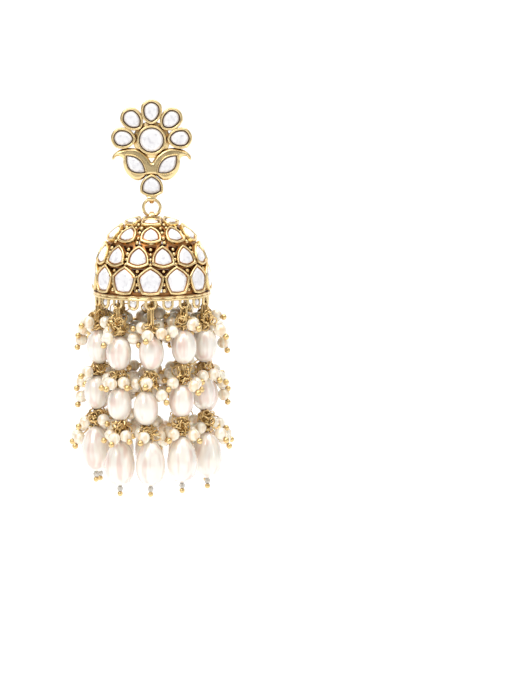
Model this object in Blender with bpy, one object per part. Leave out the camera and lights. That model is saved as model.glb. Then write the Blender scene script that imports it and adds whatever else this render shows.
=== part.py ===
"""Jhumka earring: a flower stud, a swing ring, a pierced stone-set dome and ten pearl strands.

X runs to the right of the front view, the front faces -Y and Z is up.
The origin is the seat of the ear post on the flat back of the flower.
"""

import math
from collections import namedtuple

import bmesh
import bpy
import numpy as np
from mathutils import Vector
from mathutils.geometry import delaunay_2d_cdt

for old_object in list(bpy.data.objects):
    bpy.data.objects.remove(old_object, do_unlink=True)

MM = 0.001
FULL_TURN = 2.0 * math.pi

# Clearances
SEAT_GAP = 0.10 * MM
RUNNING_GAP = 0.27 * MM
BEAD_GAP = 0.15 * MM

# Flower stud: the stones and their bezels
BACK_PLATE_THICKNESS = 0.70 * MM
BACK_PLATE_RADIUS = 4.05 * MM
BACK_PLATE_SIDES = 20
CUP_SET_BACK = 0.15 * MM
BEZEL_WALL = 0.60 * MM
BEZEL_LIP = 0.22 * MM
STUD_CUP_HEIGHT = 1.75 * MM
STUD_RIDGE_RISE = 0.30 * MM
STUD_STONE_FLOOR = 0.75 * MM
STUD_STONE_RISE = 0.35 * MM
STUD_STONE_SHOULDER = 0.25 * MM
CENTRE_STONE_DIAMETER = 5.30 * MM
PETAL_COUNT = 5
PETAL_FIRST_ANGLE = math.radians(3.5)
PETAL_LAST_ANGLE = math.radians(176.5)
PETAL_STONE_WIDTH = 3.30 * MM
PETAL_STONE_LENGTH = 4.15 * MM
PETAL_SPACE = 0.22 * MM
PETAL_SOFTNESS = 0.12
STUD_CUP_SIDES = 10

# Leaf frame below the flower
LEAF_FRAME_WIDTH = 17.3 * MM
LEAF_FRAME_HEIGHT = 7.1 * MM
LEAF_FRAME_TOP = -1.80 * MM
LEAF_FRAME_THICKNESS = 1.30 * MM
LEAF_FRAME_EDGE = 0.10 * MM
LEAF_STONE_LENGTH = 5.40 * MM
LEAF_STONE_UPPER_BULGE = 1.25 * MM
LEAF_STONE_LOWER_BULGE = 1.80 * MM
LEAF_STONE_TILT = math.radians(42.5)
LEAF_STONE_TIP_X = 1.45 * MM
LEAF_STONE_TIP_Z = -7.10 * MM
LEAF_TIP_GROWTH = 2.6
LEAF_SIDE_FULLNESS = 0.8

# Drop setting at the foot of the stud
DROP_STONE_WIDTH = 3.95 * MM
DROP_STONE_HEIGHT = 3.80 * MM
DROP_SOFTNESS = 0.24
DROP_CENTRE_Z = -9.94 * MM

# Swing ring and the bails that hold it
RING_RADIUS = 1.80 * MM
RING_WIRE_RADIUS = 0.33 * MM
RING_SIDES = 12
WIRE_SIDES = 6
BAIL_THICKNESS = 0.35 * MM
BAIL_OVERLAP = 0.35 * MM
BAIL_WIDE = 2.40 * MM
BAIL_NARROW = 0.70 * MM
BAIL_SIDES = 10

# Ear post
POST_RADIUS = 0.42 * MM
POST_LENGTH = 11.0 * MM
POST_PAD_RADIUS = 1.60 * MM
POST_PAD_THICKNESS = 0.40 * MM
POST_TIP_SHARE = 0.45
POST_SIDES = 10

# Dome
DOME_RADIUS = 12.30 * MM
DOME_HEIGHT = 16.75 * MM
DOME_SQUARENESS = 2.35
DOME_WALL = 0.80 * MM
DOME_BEZEL_WALL = 0.46 * MM
DOME_RIDGE_RISE = 0.55 * MM
DOME_GIRDLE_RISE = 0.34 * MM
DOME_TABLE_RISE = 0.70 * MM
DOME_LIP = 0.20 * MM
TABLE_SHARE = 0.64
PIERCED_WEB = 0.16 * MM
PIERCED_TIP = 1.70 * MM
PIERCED_LEAST_ROOM = 1.9 * PIERCED_WEB
PIERCED_NEAR_TURN = 0.8
SEARCH_HEADINGS = 12
SEARCH_STRIDE = 0.80 * MM
SEARCH_FINEST = 0.01 * MM
REACH_STEP = 0.04 * MM
PULL_IN_ROUNDS = 12
PULL_IN_SHARE = 0.94
EDGE_STEPS = 6
CAP_RADIUS = 1.90 * MM
RIM_BAND_HEIGHT = 1.00 * MM
RIM_BAND_PROUD = 0.55 * MM
RIM_SIDES = 30
PROFILE_STEPS = 4001
SLOPE_SHARE = 0.002

# Loops under the rim, with a strand on every second one
RIM_LOOPS = 20
STRANDS = 10
LOOP_WIDTH = 2.60 * MM
LOOP_DROP = 2.20 * MM
LOOP_WIRE_RADIUS = 0.30 * MM
LOOP_PATH_POINTS = 5
LOOP_WIRE_SIDES = 5

# Strands: link, wire bundles and pearls, from the top down
LINK_LENGTH = 4.00 * MM
LINK_WIDTH = 2.00 * MM
LINK_WIRE_RADIUS = 0.22 * MM
LINK_TURN = math.radians(40.0)
LINK_SUNK_SHARE = 0.45
LINK_PATH_POINTS = 10
BUNDLE_WIDTH = 4.10 * MM
BUNDLE_LOBE_DEPTH = 0.26
UPPER_BUNDLE_HEIGHT = 2.60 * MM
MIDDLE_BUNDLE_HEIGHT = 4.50 * MM
LOWER_BUNDLE_HEIGHT = 3.10 * MM
PEARL_DIAMETER = 5.40 * MM
UPPER_PEARL_LENGTH = 7.60 * MM
MIDDLE_PEARL_LENGTH = 7.60 * MM
DROP_PEARL_DIAMETER = 6.45 * MM
DROP_PEARL_LENGTH = 10.30 * MM
DROP_PEARL_BELLY = 0.16
PIN_RADIUS = 0.25 * MM
END_BEAD_RADIUS = 0.62 * MM
END_BALL_RADIUS = 0.68 * MM
PEARL_SIDES = 10
PEARL_BANDS = 4
DROP_PEARL_BANDS = 5
BUNDLE_SIDES = 10

# Colours of the kinds of material
CHAMPAGNE_GOLD = (0.76, 0.55, 0.27)
PEARL_CREAM = (0.90, 0.80, 0.72)
STONE_WHITE = (0.90, 0.90, 0.92)

# Colour, roughness and metallic value of each kind
GOLD = (CHAMPAGNE_GOLD, 0.28, 1.0)
PEARL = (PEARL_CREAM, 0.25, 0.0)
STONE = (STONE_WHITE, 0.08, 0.0)

# Rows of stones on the dome. high is the row's place as a share of the dome's height, turn is in
# steps of the row, wide is the stone's share of the dome's radius and tall of its height.
StoneRow = namedtuple("StoneRow", "count turn high wide tall corners soft points")
STONE_ROWS = (
    StoneRow(6, 0.0, 0.958, 0.275, 0.140, 3, 0.20, 9),
    StoneRow(10, 0.0, 0.816, 0.285, 0.212, 3, 0.34, 9),
    StoneRow(13, 0.5, 0.556, 0.320, 0.235, 3, 0.38, 9),
    StoneRow(13, 0.0, 0.256, 0.396, 0.308, 5, 0.62, 10),
)

# Rings of a wire bundle: how far down it they are, how wide as a share of its width, and how far
# they lean from the pin above to the one below.
BundleRing = namedtuple("BundleRing", "down width lean")
BUNDLE_RINGS = (BundleRing(0.30, 1.00, 0.35), BundleRing(0.72, 0.92, 0.65))

# How each strand hangs, from the front one round by the right. Every column is a share
# of the pearl's diameter: sideways, upwards and outwards of the plumb line below its loop.
Hang = namedtuple("Hang", "upper_side upper_lift middle_side middle_lift middle_out"
                          " drop_side drop_lift drop_out")
STRAND_HANGS = (
    Hang(0.03, 0.00, -0.20, 0.00, 0.00, -0.02, 0.00, 0.00),
    Hang(0.00, 0.20, -0.12, 0.28, -0.02, -0.12, 0.10, 0.02),
    Hang(0.00, 0.12, 0.04, 0.42, -0.08, 0.03, 0.10, 0.10),
    Hang(0.04, 0.04, -0.06, 0.16, 0.02, 0.04, 0.16, 0.04),
    Hang(0.18, 0.10, 0.24, 0.22, 0.00, 0.16, 0.06, 0.02),
    Hang(0.22, 0.02, 0.24, 0.08, 0.00, 0.20, 0.02, 0.00),
    Hang(0.18, 0.12, 0.20, 0.20, 0.02, 0.12, 0.12, 0.02),
    Hang(0.03, 0.06, 0.06, 0.30, 0.00, -0.04, 0.20, 0.04),
    Hang(0.00, 0.06, 0.00, 0.46, 0.10, 0.00, 0.38, 0.14),
    Hang(0.04, -0.06, 0.06, 0.14, 0.00, 0.09, -0.03, 0.02),
)

# Outline of the right half of the leaf frame: across is a share of half its width and down a
# share of its height, from the cusp in the middle over the scroll tip to the foot.
FramePoint = namedtuple("FramePoint", "across down")
LEAF_FRAME_OUTLINE = (
    FramePoint(0.0, 0.44),
    FramePoint(0.06, 0.345),
    FramePoint(0.17, 0.172),
    FramePoint(0.36, 0.03),
    FramePoint(0.59, 0.0),
    FramePoint(0.82, 0.065),
    FramePoint(0.96, 0.19),
    FramePoint(1.0, 0.29),
    FramePoint(0.995, 0.36),
    FramePoint(0.94, 0.34),
    FramePoint(0.89, 0.265),
    FramePoint(0.79, 0.265),
    FramePoint(0.72, 0.345),
    FramePoint(0.72, 0.46),
    FramePoint(0.69, 0.64),
    FramePoint(0.61, 0.81),
    FramePoint(0.47, 0.96),
    FramePoint(0.33, 1.0),
    FramePoint(0.22, 0.95),
    FramePoint(0.13, 0.86),
    FramePoint(0.0, 0.84),
)

# Places that follow from the sizes
bail_hole = RING_WIRE_RADIUS + RUNNING_GAP
hang_y = -STUD_CUP_HEIGHT * 0.5
drop_bezel_bottom = DROP_CENTRE_Z - DROP_STONE_HEIGHT * 0.5 - BEZEL_WALL
ring_top_z = drop_bezel_bottom + BAIL_OVERLAP - BAIL_THICKNESS - bail_hole
ring_centre_z = ring_top_z - RING_RADIUS
ring_foot_z = ring_centre_z - RING_RADIUS
dome_top_z = ring_foot_z - bail_hole
rim_z = dome_top_z - DOME_HEIGHT
loop_circle = DOME_RADIUS + RIM_BAND_PROUD - 0.5 * (DOME_WALL + RIM_BAND_PROUD)
loop_wire_z = rim_z - LOOP_DROP + LOOP_WIRE_RADIUS


def make_material(name, colour, roughness, metallic):
    """Return a plain Principled material."""
    material = bpy.data.materials.new(name)
    material.use_nodes = True
    shader = material.node_tree.nodes["Principled BSDF"]
    shader.inputs["Base Color"].default_value = (*colour, 1.0)
    shader.inputs["Roughness"].default_value = roughness
    shader.inputs["Metallic"].default_value = metallic
    return material


def add_object(name, mesh_data, material_values, origin=(0.0, 0.0, 0.0), smooth=40.0):
    """Link a mesh made in world coordinates, with its object's origin at the given place.

    The mesh itself is held in millimetres on a scaled object, so that fine unions stay exact.
    """
    vertices, faces = mesh_data
    base = Vector(origin)
    mesh = bpy.data.meshes.new(name)
    mesh.from_pydata([tuple((Vector(v) - base) / MM) for v in vertices], [], faces)
    clean = bmesh.new()
    clean.from_mesh(mesh)
    bmesh.ops.recalc_face_normals(clean, faces=clean.faces)
    clean.to_mesh(mesh)
    clean.free()
    mesh.shade_smooth()
    mesh.set_sharp_from_angle(angle=math.radians(smooth))
    mesh.materials.append(make_material(name, *material_values))
    item = bpy.data.objects.new(name, mesh)
    item.location = base
    item.scale = (MM, MM, MM)
    bpy.context.scene.collection.objects.link(item)
    return item


def add_helper(name, mesh_data):
    """Link a solid that only shapes another one."""
    item = add_object(name, mesh_data, GOLD)
    item.hide_render = True
    item.display_type = "WIRE"
    return item


def fuse(target, helper, operation="UNION"):
    """Join a helper's solid to the target's, or cut it away."""
    joint = target.modifiers.new(helper.name, "BOOLEAN")
    joint.operation = operation
    joint.solver = "EXACT"
    joint.object = helper


def merge_meshes(parts):
    """Put several closed meshes that don't touch into one list of vertices and faces."""
    vertices = []
    faces = []
    for part_vertices, part_faces in parts:
        start = len(vertices)
        vertices.extend(part_vertices)
        faces.extend([tuple(start + index for index in face) for face in part_faces])
    return vertices, faces


def loft(rings, closed=False):
    """Skin a row of rings. A ring may have half or twice as many points as the one before it."""
    vertices = [tuple(point) for ring in rings for point in ring]
    starts = np.cumsum([0] + [len(ring) for ring in rings])
    faces = []
    last = len(rings) if closed else len(rings) - 1
    for step in range(last):
        following = (step + 1) % len(rings)
        one, other = len(rings[step]), len(rings[following])
        first, second = int(starts[step]), int(starts[following])
        if one == 1 or other == 1:
            count = max(one, other)
            tip, base = (first, second) if one == 1 else (second, first)
            faces.extend([(tip, base + i, base + (i + 1) % count) for i in range(count)])
        elif one == other:
            faces.extend([(first + i, first + (i + 1) % one, second + (i + 1) % one, second + i)
                          for i in range(one)])
        else:
            few, fine = (first, second) if one < other else (second, first)
            count = min(one, other)
            for i in range(count):
                here, there = few + i, few + (i + 1) % count
                near, middle = fine + 2 * i, fine + 2 * i + 1
                far = fine + (2 * i + 2) % (2 * count)
                faces.extend([(here, near, middle), (here, middle, there), (there, middle, far)])
    if not closed:
        if len(rings[0]) > 1:
            faces.append(tuple(reversed(range(len(rings[0])))))
        if len(rings[-1]) > 1:
            faces.append(tuple(range(int(starts[-2]), int(starts[-1]))))
    return vertices, faces


def swept_wire(path, radius, sides, across, closed=False):
    """Sweep a round wire along a path. across is the direction at right angles to its plane."""
    rings = []
    count = len(path)
    points = [Vector(point) for point in path]
    flat = Vector(across).normalized()
    for step, point in enumerate(points):
        before = points[(step - 1) % count] if closed or step else point
        after = points[(step + 1) % count] if closed or step < count - 1 else point
        out = (after - before).normalized().cross(flat).normalized()
        rings.append([point + radius * (math.cos(turn) * out + math.sin(turn) * flat)
                      for turn in (FULL_TURN * i / sides for i in range(sides))])
    return loft(rings, closed)


def rounded_outline(width, height, corners, soft, points, grow=0.0):
    """Outline of a stone, first point at the top. soft 0 is an ellipse and 1 has full corners."""
    outline = []
    sector = FULL_TURN / corners
    for step in range(points):
        turn = FULL_TURN * step / points
        inside = (turn + 0.5 * sector) % sector - 0.5 * sector
        radius = (math.cos(0.5 * sector) / math.cos(0.5 * sector - abs(inside))) ** soft
        outline.append((radius * math.sin(turn), radius * math.cos(turn)))
    top = max(b for a, b in outline)
    foot = min(b for a, b in outline)
    half_wide = max(abs(a) for a, b in outline)
    half_tall = 0.5 * (top - foot)
    middle = 0.5 * (top + foot)
    return [(a / half_wide * (0.5 * width + grow), (b - middle) / half_tall * (0.5 * height + grow))
            for a, b in outline]


def lens_outline(grow=0.0):
    """Outline of the leaf stone, between two tips, with a shallow upper and a deep lower side."""
    length = LEAF_STONE_LENGTH + LEAF_TIP_GROWTH * grow
    half = STUD_CUP_SIDES // 2
    outline = []
    for step in range(STUD_CUP_SIDES):
        along = 0.5 - 0.5 * math.cos(math.pi * (step % half) / half)
        bulge = LEAF_STONE_UPPER_BULGE if step < half else -LEAF_STONE_LOWER_BULGE
        grown = bulge * (1.0 + grow / abs(bulge))
        rise = grown * math.sin(math.pi * along) ** LEAF_SIDE_FULLNESS
        outline.append((length * (along - 0.5 if step < half else 0.5 - along), rise))
    return outline


def set_in_plane(outline, centre, tilt, depth):
    """Place an outline in the plane of the stud, turned by tilt, depth in front of the back."""
    return [(centre[0] + a * math.cos(tilt) - b * math.sin(tilt), -depth,
             centre[1] + a * math.sin(tilt) + b * math.cos(tilt)) for a, b in outline]


def bezel_cup(outline_at, centre, tilt):
    """Cup with a rounded ridge and a flat floor for the stone."""
    lip = -BEZEL_WALL + BEZEL_LIP
    rings = [
        set_in_plane(outline_at(BEZEL_WALL), centre, tilt, CUP_SET_BACK),
        set_in_plane(outline_at(BEZEL_WALL), centre, tilt, STUD_CUP_HEIGHT - STUD_RIDGE_RISE),
        set_in_plane(outline_at(BEZEL_WALL + 0.5 * lip), centre, tilt, STUD_CUP_HEIGHT),
        set_in_plane(outline_at(0.0), centre, tilt, STUD_CUP_HEIGHT - 0.5 * STUD_RIDGE_RISE),
        set_in_plane(outline_at(0.0), centre, tilt, STUD_STONE_FLOOR),
    ]
    return loft(rings)


def cup_seat(outline_at, centre, tilt):
    """Cutter that clears the leaf frame where a cup goes through it."""
    around = outline_at(0.5 * BEZEL_WALL)
    return loft([
        set_in_plane(around, centre, tilt, -STUD_CUP_HEIGHT),
        set_in_plane(around, centre, tilt, 2.0 * STUD_CUP_HEIGHT),
    ])


def cut_stone(outline_at, centre, tilt):
    """Flat-backed stone with a ring of crown facets and a table, seated in its cup."""
    seat = STUD_STONE_FLOOR + SEAT_GAP
    girdle = STUD_CUP_HEIGHT - STUD_STONE_SHOULDER
    table = STUD_CUP_HEIGHT + STUD_STONE_RISE
    around = outline_at(-SEAT_GAP)
    rings = [
        set_in_plane(around, centre, tilt, seat),
        set_in_plane(around, centre, tilt, girdle),
        set_in_plane([(a * TABLE_SHARE, b * TABLE_SHARE) for a, b in around], centre, tilt, table),
    ]
    return loft(rings)


def leaf_frame():
    """Flat frame with curled tips, its front edge rounded over."""
    half = [(0.5 * LEAF_FRAME_WIDTH * p.across, LEAF_FRAME_TOP - LEAF_FRAME_HEIGHT * p.down)
            for p in LEAF_FRAME_OUTLINE]
    whole = half[:-1] + [half[-1]] + [(-x, z) for x, z in reversed(half[1:-1])]
    count = len(whole)
    inner = []
    for i, (x, z) in enumerate(whole):
        ahead = whole[(i + 1) % count]
        behind = whole[i - 1]
        along = Vector((ahead[0] - behind[0], ahead[1] - behind[1])).normalized()
        inner.append((x + along.y * LEAF_FRAME_EDGE, z - along.x * LEAF_FRAME_EDGE))
    back, brow, front = 0.5 * CUP_SET_BACK, LEAF_FRAME_THICKNESS - LEAF_FRAME_EDGE, LEAF_FRAME_THICKNESS
    return loft([
        [(x, -back, z) for x, z in whole],
        [(x, -brow, z) for x, z in whole],
        [(x, -front, z) for x, z in inner],
    ])


def disc_prism(radius, sides, y_front, y_back, centre_z=0.0):
    """Round plate in the plane of the stud."""
    ring = [(radius * math.sin(turn), centre_z + radius * math.cos(turn))
            for turn in (FULL_TURN * i / sides for i in range(sides))]
    return loft([[(x, y_back, z) for x, z in ring], [(x, y_front, z) for x, z in ring]])


def bail_strap(centre_z, wide_up):
    """Strap bent round a hole along X, wide at one side of the hole and narrow at the other."""
    rings = []
    for step in range(BAIL_SIDES):
        turn = FULL_TURN * step / BAIL_SIDES
        share = 0.5 + 0.5 * math.cos(turn) * (1.0 if wide_up else -1.0)
        half = 0.5 * (BAIL_NARROW + (BAIL_WIDE - BAIL_NARROW) * share)
        ring = []
        for radius, x in ((bail_hole, half), (bail_hole + BAIL_THICKNESS, half),
                          (bail_hole + BAIL_THICKNESS, -half), (bail_hole, -half)):
            reach = radius / math.cos(math.pi / BAIL_SIDES) if radius == bail_hole else radius
            ring.append((x, hang_y + reach * math.sin(turn), centre_z + reach * math.cos(turn)))
        rings.append(ring)
    return loft(rings, closed=True)


def build_stud():
    """Flower, leaf frame, drop setting and lower bail as one solid, with a stone in each cup."""
    centre_stone = lambda grow: rounded_outline(CENTRE_STONE_DIAMETER, CENTRE_STONE_DIAMETER,
                                                STUD_CUP_SIDES, 0.0, STUD_CUP_SIDES, grow)
    petal_stone = lambda grow: [(-a, -b) for a, b in rounded_outline(
        PETAL_STONE_WIDTH, PETAL_STONE_LENGTH, 3, PETAL_SOFTNESS, STUD_CUP_SIDES, grow)]
    drop_stone = lambda grow: rounded_outline(DROP_STONE_WIDTH, DROP_STONE_HEIGHT,
                                              3, DROP_SOFTNESS, STUD_CUP_SIDES, grow)
    plate = disc_prism(BACK_PLATE_RADIUS, BACK_PLATE_SIDES, -BACK_PLATE_THICKNESS, 0.0)
    frame = add_object("stud_frame", plate, GOLD)
    settings = [("centre", centre_stone, (0.0, 0.0), 0.0)]
    orbit = (0.5 * CENTRE_STONE_DIAMETER + BEZEL_WALL + PETAL_SPACE
             + BEZEL_WALL + 0.5 * PETAL_STONE_LENGTH)
    for index in range(PETAL_COUNT):
        share = index / (PETAL_COUNT - 1)
        angle = PETAL_FIRST_ANGLE + (PETAL_LAST_ANGLE - PETAL_FIRST_ANGLE) * share
        place = (orbit * math.cos(angle), orbit * math.sin(angle))
        settings.append((f"petal_{index + 1}", petal_stone, place, angle - math.pi / 2))
    leaf_x = LEAF_STONE_TIP_X + 0.5 * LEAF_STONE_LENGTH * math.cos(LEAF_STONE_TILT)
    leaf_z = LEAF_STONE_TIP_Z + 0.5 * LEAF_STONE_LENGTH * math.sin(LEAF_STONE_TILT)
    mirrored = lambda grow: [(-a, b) for a, b in reversed(lens_outline(grow))]
    settings.append(("leaf_right", lens_outline, (leaf_x, leaf_z), LEAF_STONE_TILT))
    settings.append(("leaf_left", mirrored, (-leaf_x, leaf_z), -LEAF_STONE_TILT))
    settings.append(("drop", drop_stone, (0.0, DROP_CENTRE_Z), 0.0))
    fuse(frame, add_helper("shape_leaf_frame", leaf_frame()))
    for name, outline_at, centre, tilt in settings:
        if name.startswith("leaf"):
            fuse(frame, add_helper(f"shape_seat_{name}", cup_seat(outline_at, centre, tilt)), "DIFFERENCE")
        fuse(frame, add_helper(f"shape_cup_{name}", bezel_cup(outline_at, centre, tilt)))
        place = (centre[0], -STUD_STONE_FLOOR, centre[1])
        add_object(f"{name}_stone", cut_stone(outline_at, centre, tilt), STONE, place, 12.0)
    fuse(frame, add_helper("shape_stud_bail", bail_strap(ring_top_z, True)))


def build_post():
    """Plain ear post with its solder pad, standing on the back of the flower."""
    pad_front = SEAT_GAP
    pad_back = SEAT_GAP + POST_PAD_THICKNESS
    radii = ((POST_PAD_RADIUS, pad_front), (POST_PAD_RADIUS, pad_back), (POST_RADIUS, pad_back),
             (POST_RADIUS, POST_LENGTH - POST_RADIUS), (POST_TIP_SHARE * POST_RADIUS, POST_LENGTH))
    rings = [[(radius * math.sin(turn), y, radius * math.cos(turn))
              for turn in (FULL_TURN * i / POST_SIDES for i in range(POST_SIDES))] for radius, y in radii]
    add_object("ear_post", loft(rings), GOLD)


def build_ring():
    """Swing ring that links the stud's bail to the dome's, its origin on the stud's bail."""
    path = [(RING_RADIUS * math.sin(turn), hang_y, ring_centre_z + RING_RADIUS * math.cos(turn))
            for turn in (FULL_TURN * i / RING_SIDES for i in range(RING_SIDES))]
    wire = swept_wire(path, RING_WIRE_RADIUS, WIRE_SIDES, (0.0, 1.0, 0.0), closed=True)
    add_object("swing_ring", wire, GOLD, (0.0, hang_y, ring_top_z))


# The dome's profile, from its apex down to the rim, as radius and height by arc length
profile_turns = np.linspace(math.pi / 2, 0.0, PROFILE_STEPS)
profile_radii = DOME_RADIUS * np.cos(profile_turns).clip(0.0) ** (2.0 / DOME_SQUARENESS)
profile_heights = DOME_HEIGHT * np.sin(profile_turns).clip(0.0) ** (2.0 / DOME_SQUARENESS)
profile_steps = np.hypot(np.diff(profile_radii), np.diff(profile_heights))
profile_arcs = np.concatenate(([0.0], np.cumsum(profile_steps)))
profile_rises = np.arctan2(profile_heights, profile_radii)
rim_arc = float(profile_arcs[-1])


def profile_at(arc):
    """Radius, height above the rim and outward direction of the dome at an arc length."""
    radius = float(np.interp(arc, profile_arcs, profile_radii))
    height = float(np.interp(arc, profile_arcs, profile_heights))
    near = SLOPE_SHARE * rim_arc
    low, high = max(arc - near, 0.0), min(arc + near, rim_arc)
    slope_r = float(np.diff(np.interp((low, high), profile_arcs, profile_radii))[0])
    slope_z = float(np.diff(np.interp((low, high), profile_arcs, profile_heights))[0])
    length = math.hypot(slope_r, slope_z)
    return radius, height, -slope_z / length, slope_r / length


def dome_point(turn, arc, lift=0.0):
    """Point of the dome's surface, turned round from the front, raised by lift."""
    radius, height, out, up = profile_at(arc)
    reach = radius + out * lift
    return Vector((reach * math.sin(turn), hang_y - reach * math.cos(turn), rim_z + height + up * lift))


def arc_at_height(share):
    """Arc length at which the dome has a share of its height."""
    return float(np.interp(-share * DOME_HEIGHT, -profile_heights, profile_arcs))


def surface_place(point):
    """Turn and arc length where a ray from the middle of the rim through a point meets the dome."""
    x, y, z = point.x, point.y - hang_y, point.z - rim_z
    turn = math.atan2(x, -y)
    rise = math.atan2(z, math.hypot(x, y))
    return turn, float(np.interp(-rise, -profile_rises, profile_arcs))


class DomeStone:
    """A stone on the dome: its frame, its outlines and the base of its bezel on the surface."""

    def __init__(self, row, index):
        self.row = row
        self.turn = FULL_TURN * (index + row.turn) / row.count
        self.arc = arc_at_height(row.high)
        self.centre = dome_point(self.turn, self.arc)
        self.out = (dome_point(self.turn, self.arc, 1.0 * MM) - self.centre).normalized()
        self.side = Vector((math.cos(self.turn), math.sin(self.turn), 0.0))
        self.up = self.out.cross(self.side).normalized()
        if self.up.z < 0.0:
            self.up.negate()
        self.base = [surface_place(point) for point in self.ring(DOME_BEZEL_WALL, 0.0)]

    def outline(self, grow, share=1.0):
        row = self.row
        ring = rounded_outline(row.wide * DOME_RADIUS, row.tall * DOME_HEIGHT,
                               row.corners, row.soft, row.points, grow)
        return [(a * share, b * share) for a, b in ring]

    def ring(self, grow, lift, share=1.0):
        return [self.centre + a * self.side + b * self.up + lift * self.out
                for a, b in self.outline(grow, share)]

    def relief(self):
        """Rings of the bezel's ridge, the stone's girdle and its table."""
        return [
            self.ring(DOME_BEZEL_WALL - DOME_LIP, DOME_RIDGE_RISE),
            self.ring(0.0, DOME_GIRDLE_RISE),
            self.ring(0.0, DOME_TABLE_RISE, TABLE_SHARE),
        ]


def segment_distance(point, start, end):
    """Distance of a point from a segment in the plane."""
    span = end - start
    share = max(0.0, min(1.0, (point - start).dot(span) / max(span.dot(span), 1e-18)))
    return (start + share * span - point).length


def outline_distance(point, outline):
    """Distance of a point from a closed outline, less than zero inside it."""
    nearest = min(segment_distance(point, outline[i - 1], outline[i]) for i in range(len(outline)))
    inside = False
    for i in range(len(outline)):
        a, b = outline[i - 1], outline[i]
        if (a.y > point.y) != (b.y > point.y):
            if point.x < a.x + (point.y - a.y) / (b.y - a.y) * (b.x - a.x):
                inside = not inside
    return -nearest if inside else nearest


def pierced_opening(walls, others, cell, turn, arc):
    """Six-cornered opening between three walls, inside its cell and clear of the other openings."""
    narrow = profile_at(arc)[0] / arc

    def flat(place):
        spot = polar((place[0] - turn, place[1])) * MM
        return Vector((spot.x * narrow, spot.y))

    def unflat(spot):
        return turn + math.atan2(spot.x / narrow, -spot.y), math.hypot(spot.x / narrow, spot.y)

    edges = [[flat(place) for place in wall] for wall in walls]
    blocks = edges + [[flat(place) for place in other] for other in others]
    bounds = [flat(place) for place in cell]

    def room(point):
        return min([outline_distance(point, block) for block in blocks]
                   + [0.5 * PIERCED_WEB - outline_distance(point, bounds)])

    middle = sum(bounds, Vector((0.0, 0.0))) / len(bounds)
    stride = SEARCH_STRIDE
    while stride > SEARCH_FINEST:
        tries = [middle + stride * Vector((math.cos(a), math.sin(a)))
                 for a in (FULL_TURN * i / SEARCH_HEADINGS for i in range(SEARCH_HEADINGS))]
        best = max(tries, key=room)
        if room(best) > room(middle):
            middle = best
        else:
            stride *= 0.5
    if room(middle) < PIERCED_LEAST_ROOM:
        return None

    def nearest_turn(edge):
        spots = [a.lerp(b, k / EDGE_STEPS)
                 for a, b in zip(edge, edge[1:] + edge[:1]) for k in range(EDGE_STEPS)]
        spot = min(spots, key=lambda s: (s - middle).length)
        return math.atan2(spot.y - middle.y, spot.x - middle.x)

    faced = sorted(nearest_turn(edge) for edge in edges)
    corners = []
    for i, toward in enumerate(faced):
        following = faced[(i + 1) % len(faced)] + (FULL_TURN if i == len(faced) - 1 else 0.0)
        corners.extend([toward, 0.5 * (toward + following)])
    spots = []
    for corner in corners:
        heading = Vector((math.cos(corner), math.sin(corner)))
        reach = 0.0
        while reach < PIERCED_TIP and room(middle + (reach + REACH_STEP) * heading) > PIERCED_WEB:
            reach += REACH_STEP
        spots.append(middle + max(reach, 0.5 * PIERCED_WEB) * heading)
    for _ in range(PULL_IN_ROUNDS):
        for i in range(len(spots)):
            if room(spots[i - 1].lerp(spots[i], 0.5)) < 0.5 * PIERCED_WEB:
                spots[i - 1] = middle.lerp(spots[i - 1], PULL_IN_SHARE)
                spots[i] = middle.lerp(spots[i], PULL_IN_SHARE)
    return [unflat(spot) for spot in spots]


def find_openings(rows, band_arc, cap_arc):
    """Openings between each pair of neighbours and the nearest stone, cap or rim band."""
    openings = []
    bases = [stone.base for row in rows for stone in row]

    def centre(stone):
        return stone.turn, stone.arc

    def strip(left, right, near, far):
        steps = [left + (right - left) * i / EDGE_STEPS for i in range(EDGE_STEPS + 1)]
        return [(t, near) for t in steps] + [(t, far) for t in reversed(steps)]

    def add(pair, walls, cell):
        turn = 0.5 * (pair[0].turn + pair[1].turn)
        if pair[1].turn < pair[0].turn:
            turn += math.pi
        anchor = sum(place[1] for place in cell) / len(cell)
        others = [outline for outline in openings + bases
                  if abs((outline[0][0] - turn + math.pi) % FULL_TURN - math.pi) < PIERCED_NEAR_TURN]
        opening = pierced_opening(walls, others, cell, turn, anchor)
        if opening:
            openings.append(opening)

    def pairs(row):
        return [(row[i - 1], row[i]) for i in range(len(row))]

    for left, right in pairs(rows[0]):
        start = left.turn - (FULL_TURN if right.turn < left.turn else 0.0)
        cap = strip(start, right.turn, 0.5 * cap_arc, cap_arc)
        add((left, right), [left.base, right.base, cap],
            [centre(left), centre(right), (right.turn, cap_arc), (start, cap_arc)])
    for above, below in zip(rows, rows[1:]):
        for row, others in ((above, below), (below, above)):
            for left, right in pairs(row):
                start = left.turn - (FULL_TURN if right.turn < left.turn else 0.0)
                middle = 0.5 * (start + right.turn)
                third = min(others, key=lambda s: abs((s.turn - middle + math.pi) % FULL_TURN - math.pi))
                add((left, right), [left.base, right.base, third.base],
                    [centre(left), centre(right), centre(third)])
    for left, right in pairs(rows[-1]):
        start = left.turn - (FULL_TURN if right.turn < left.turn else 0.0)
        band = strip(start, right.turn, band_arc, rim_arc)
        add((left, right), [left.base, right.base, band],
            [centre(left), centre(right), (right.turn, band_arc), (start, band_arc)])
    return openings


def polar(place):
    """Flat map of the dome used for its triangles: arc length outwards, turned round the apex."""
    turn, arc = place
    return Vector((arc / MM * math.sin(turn), -arc / MM * math.cos(turn)))


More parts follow.
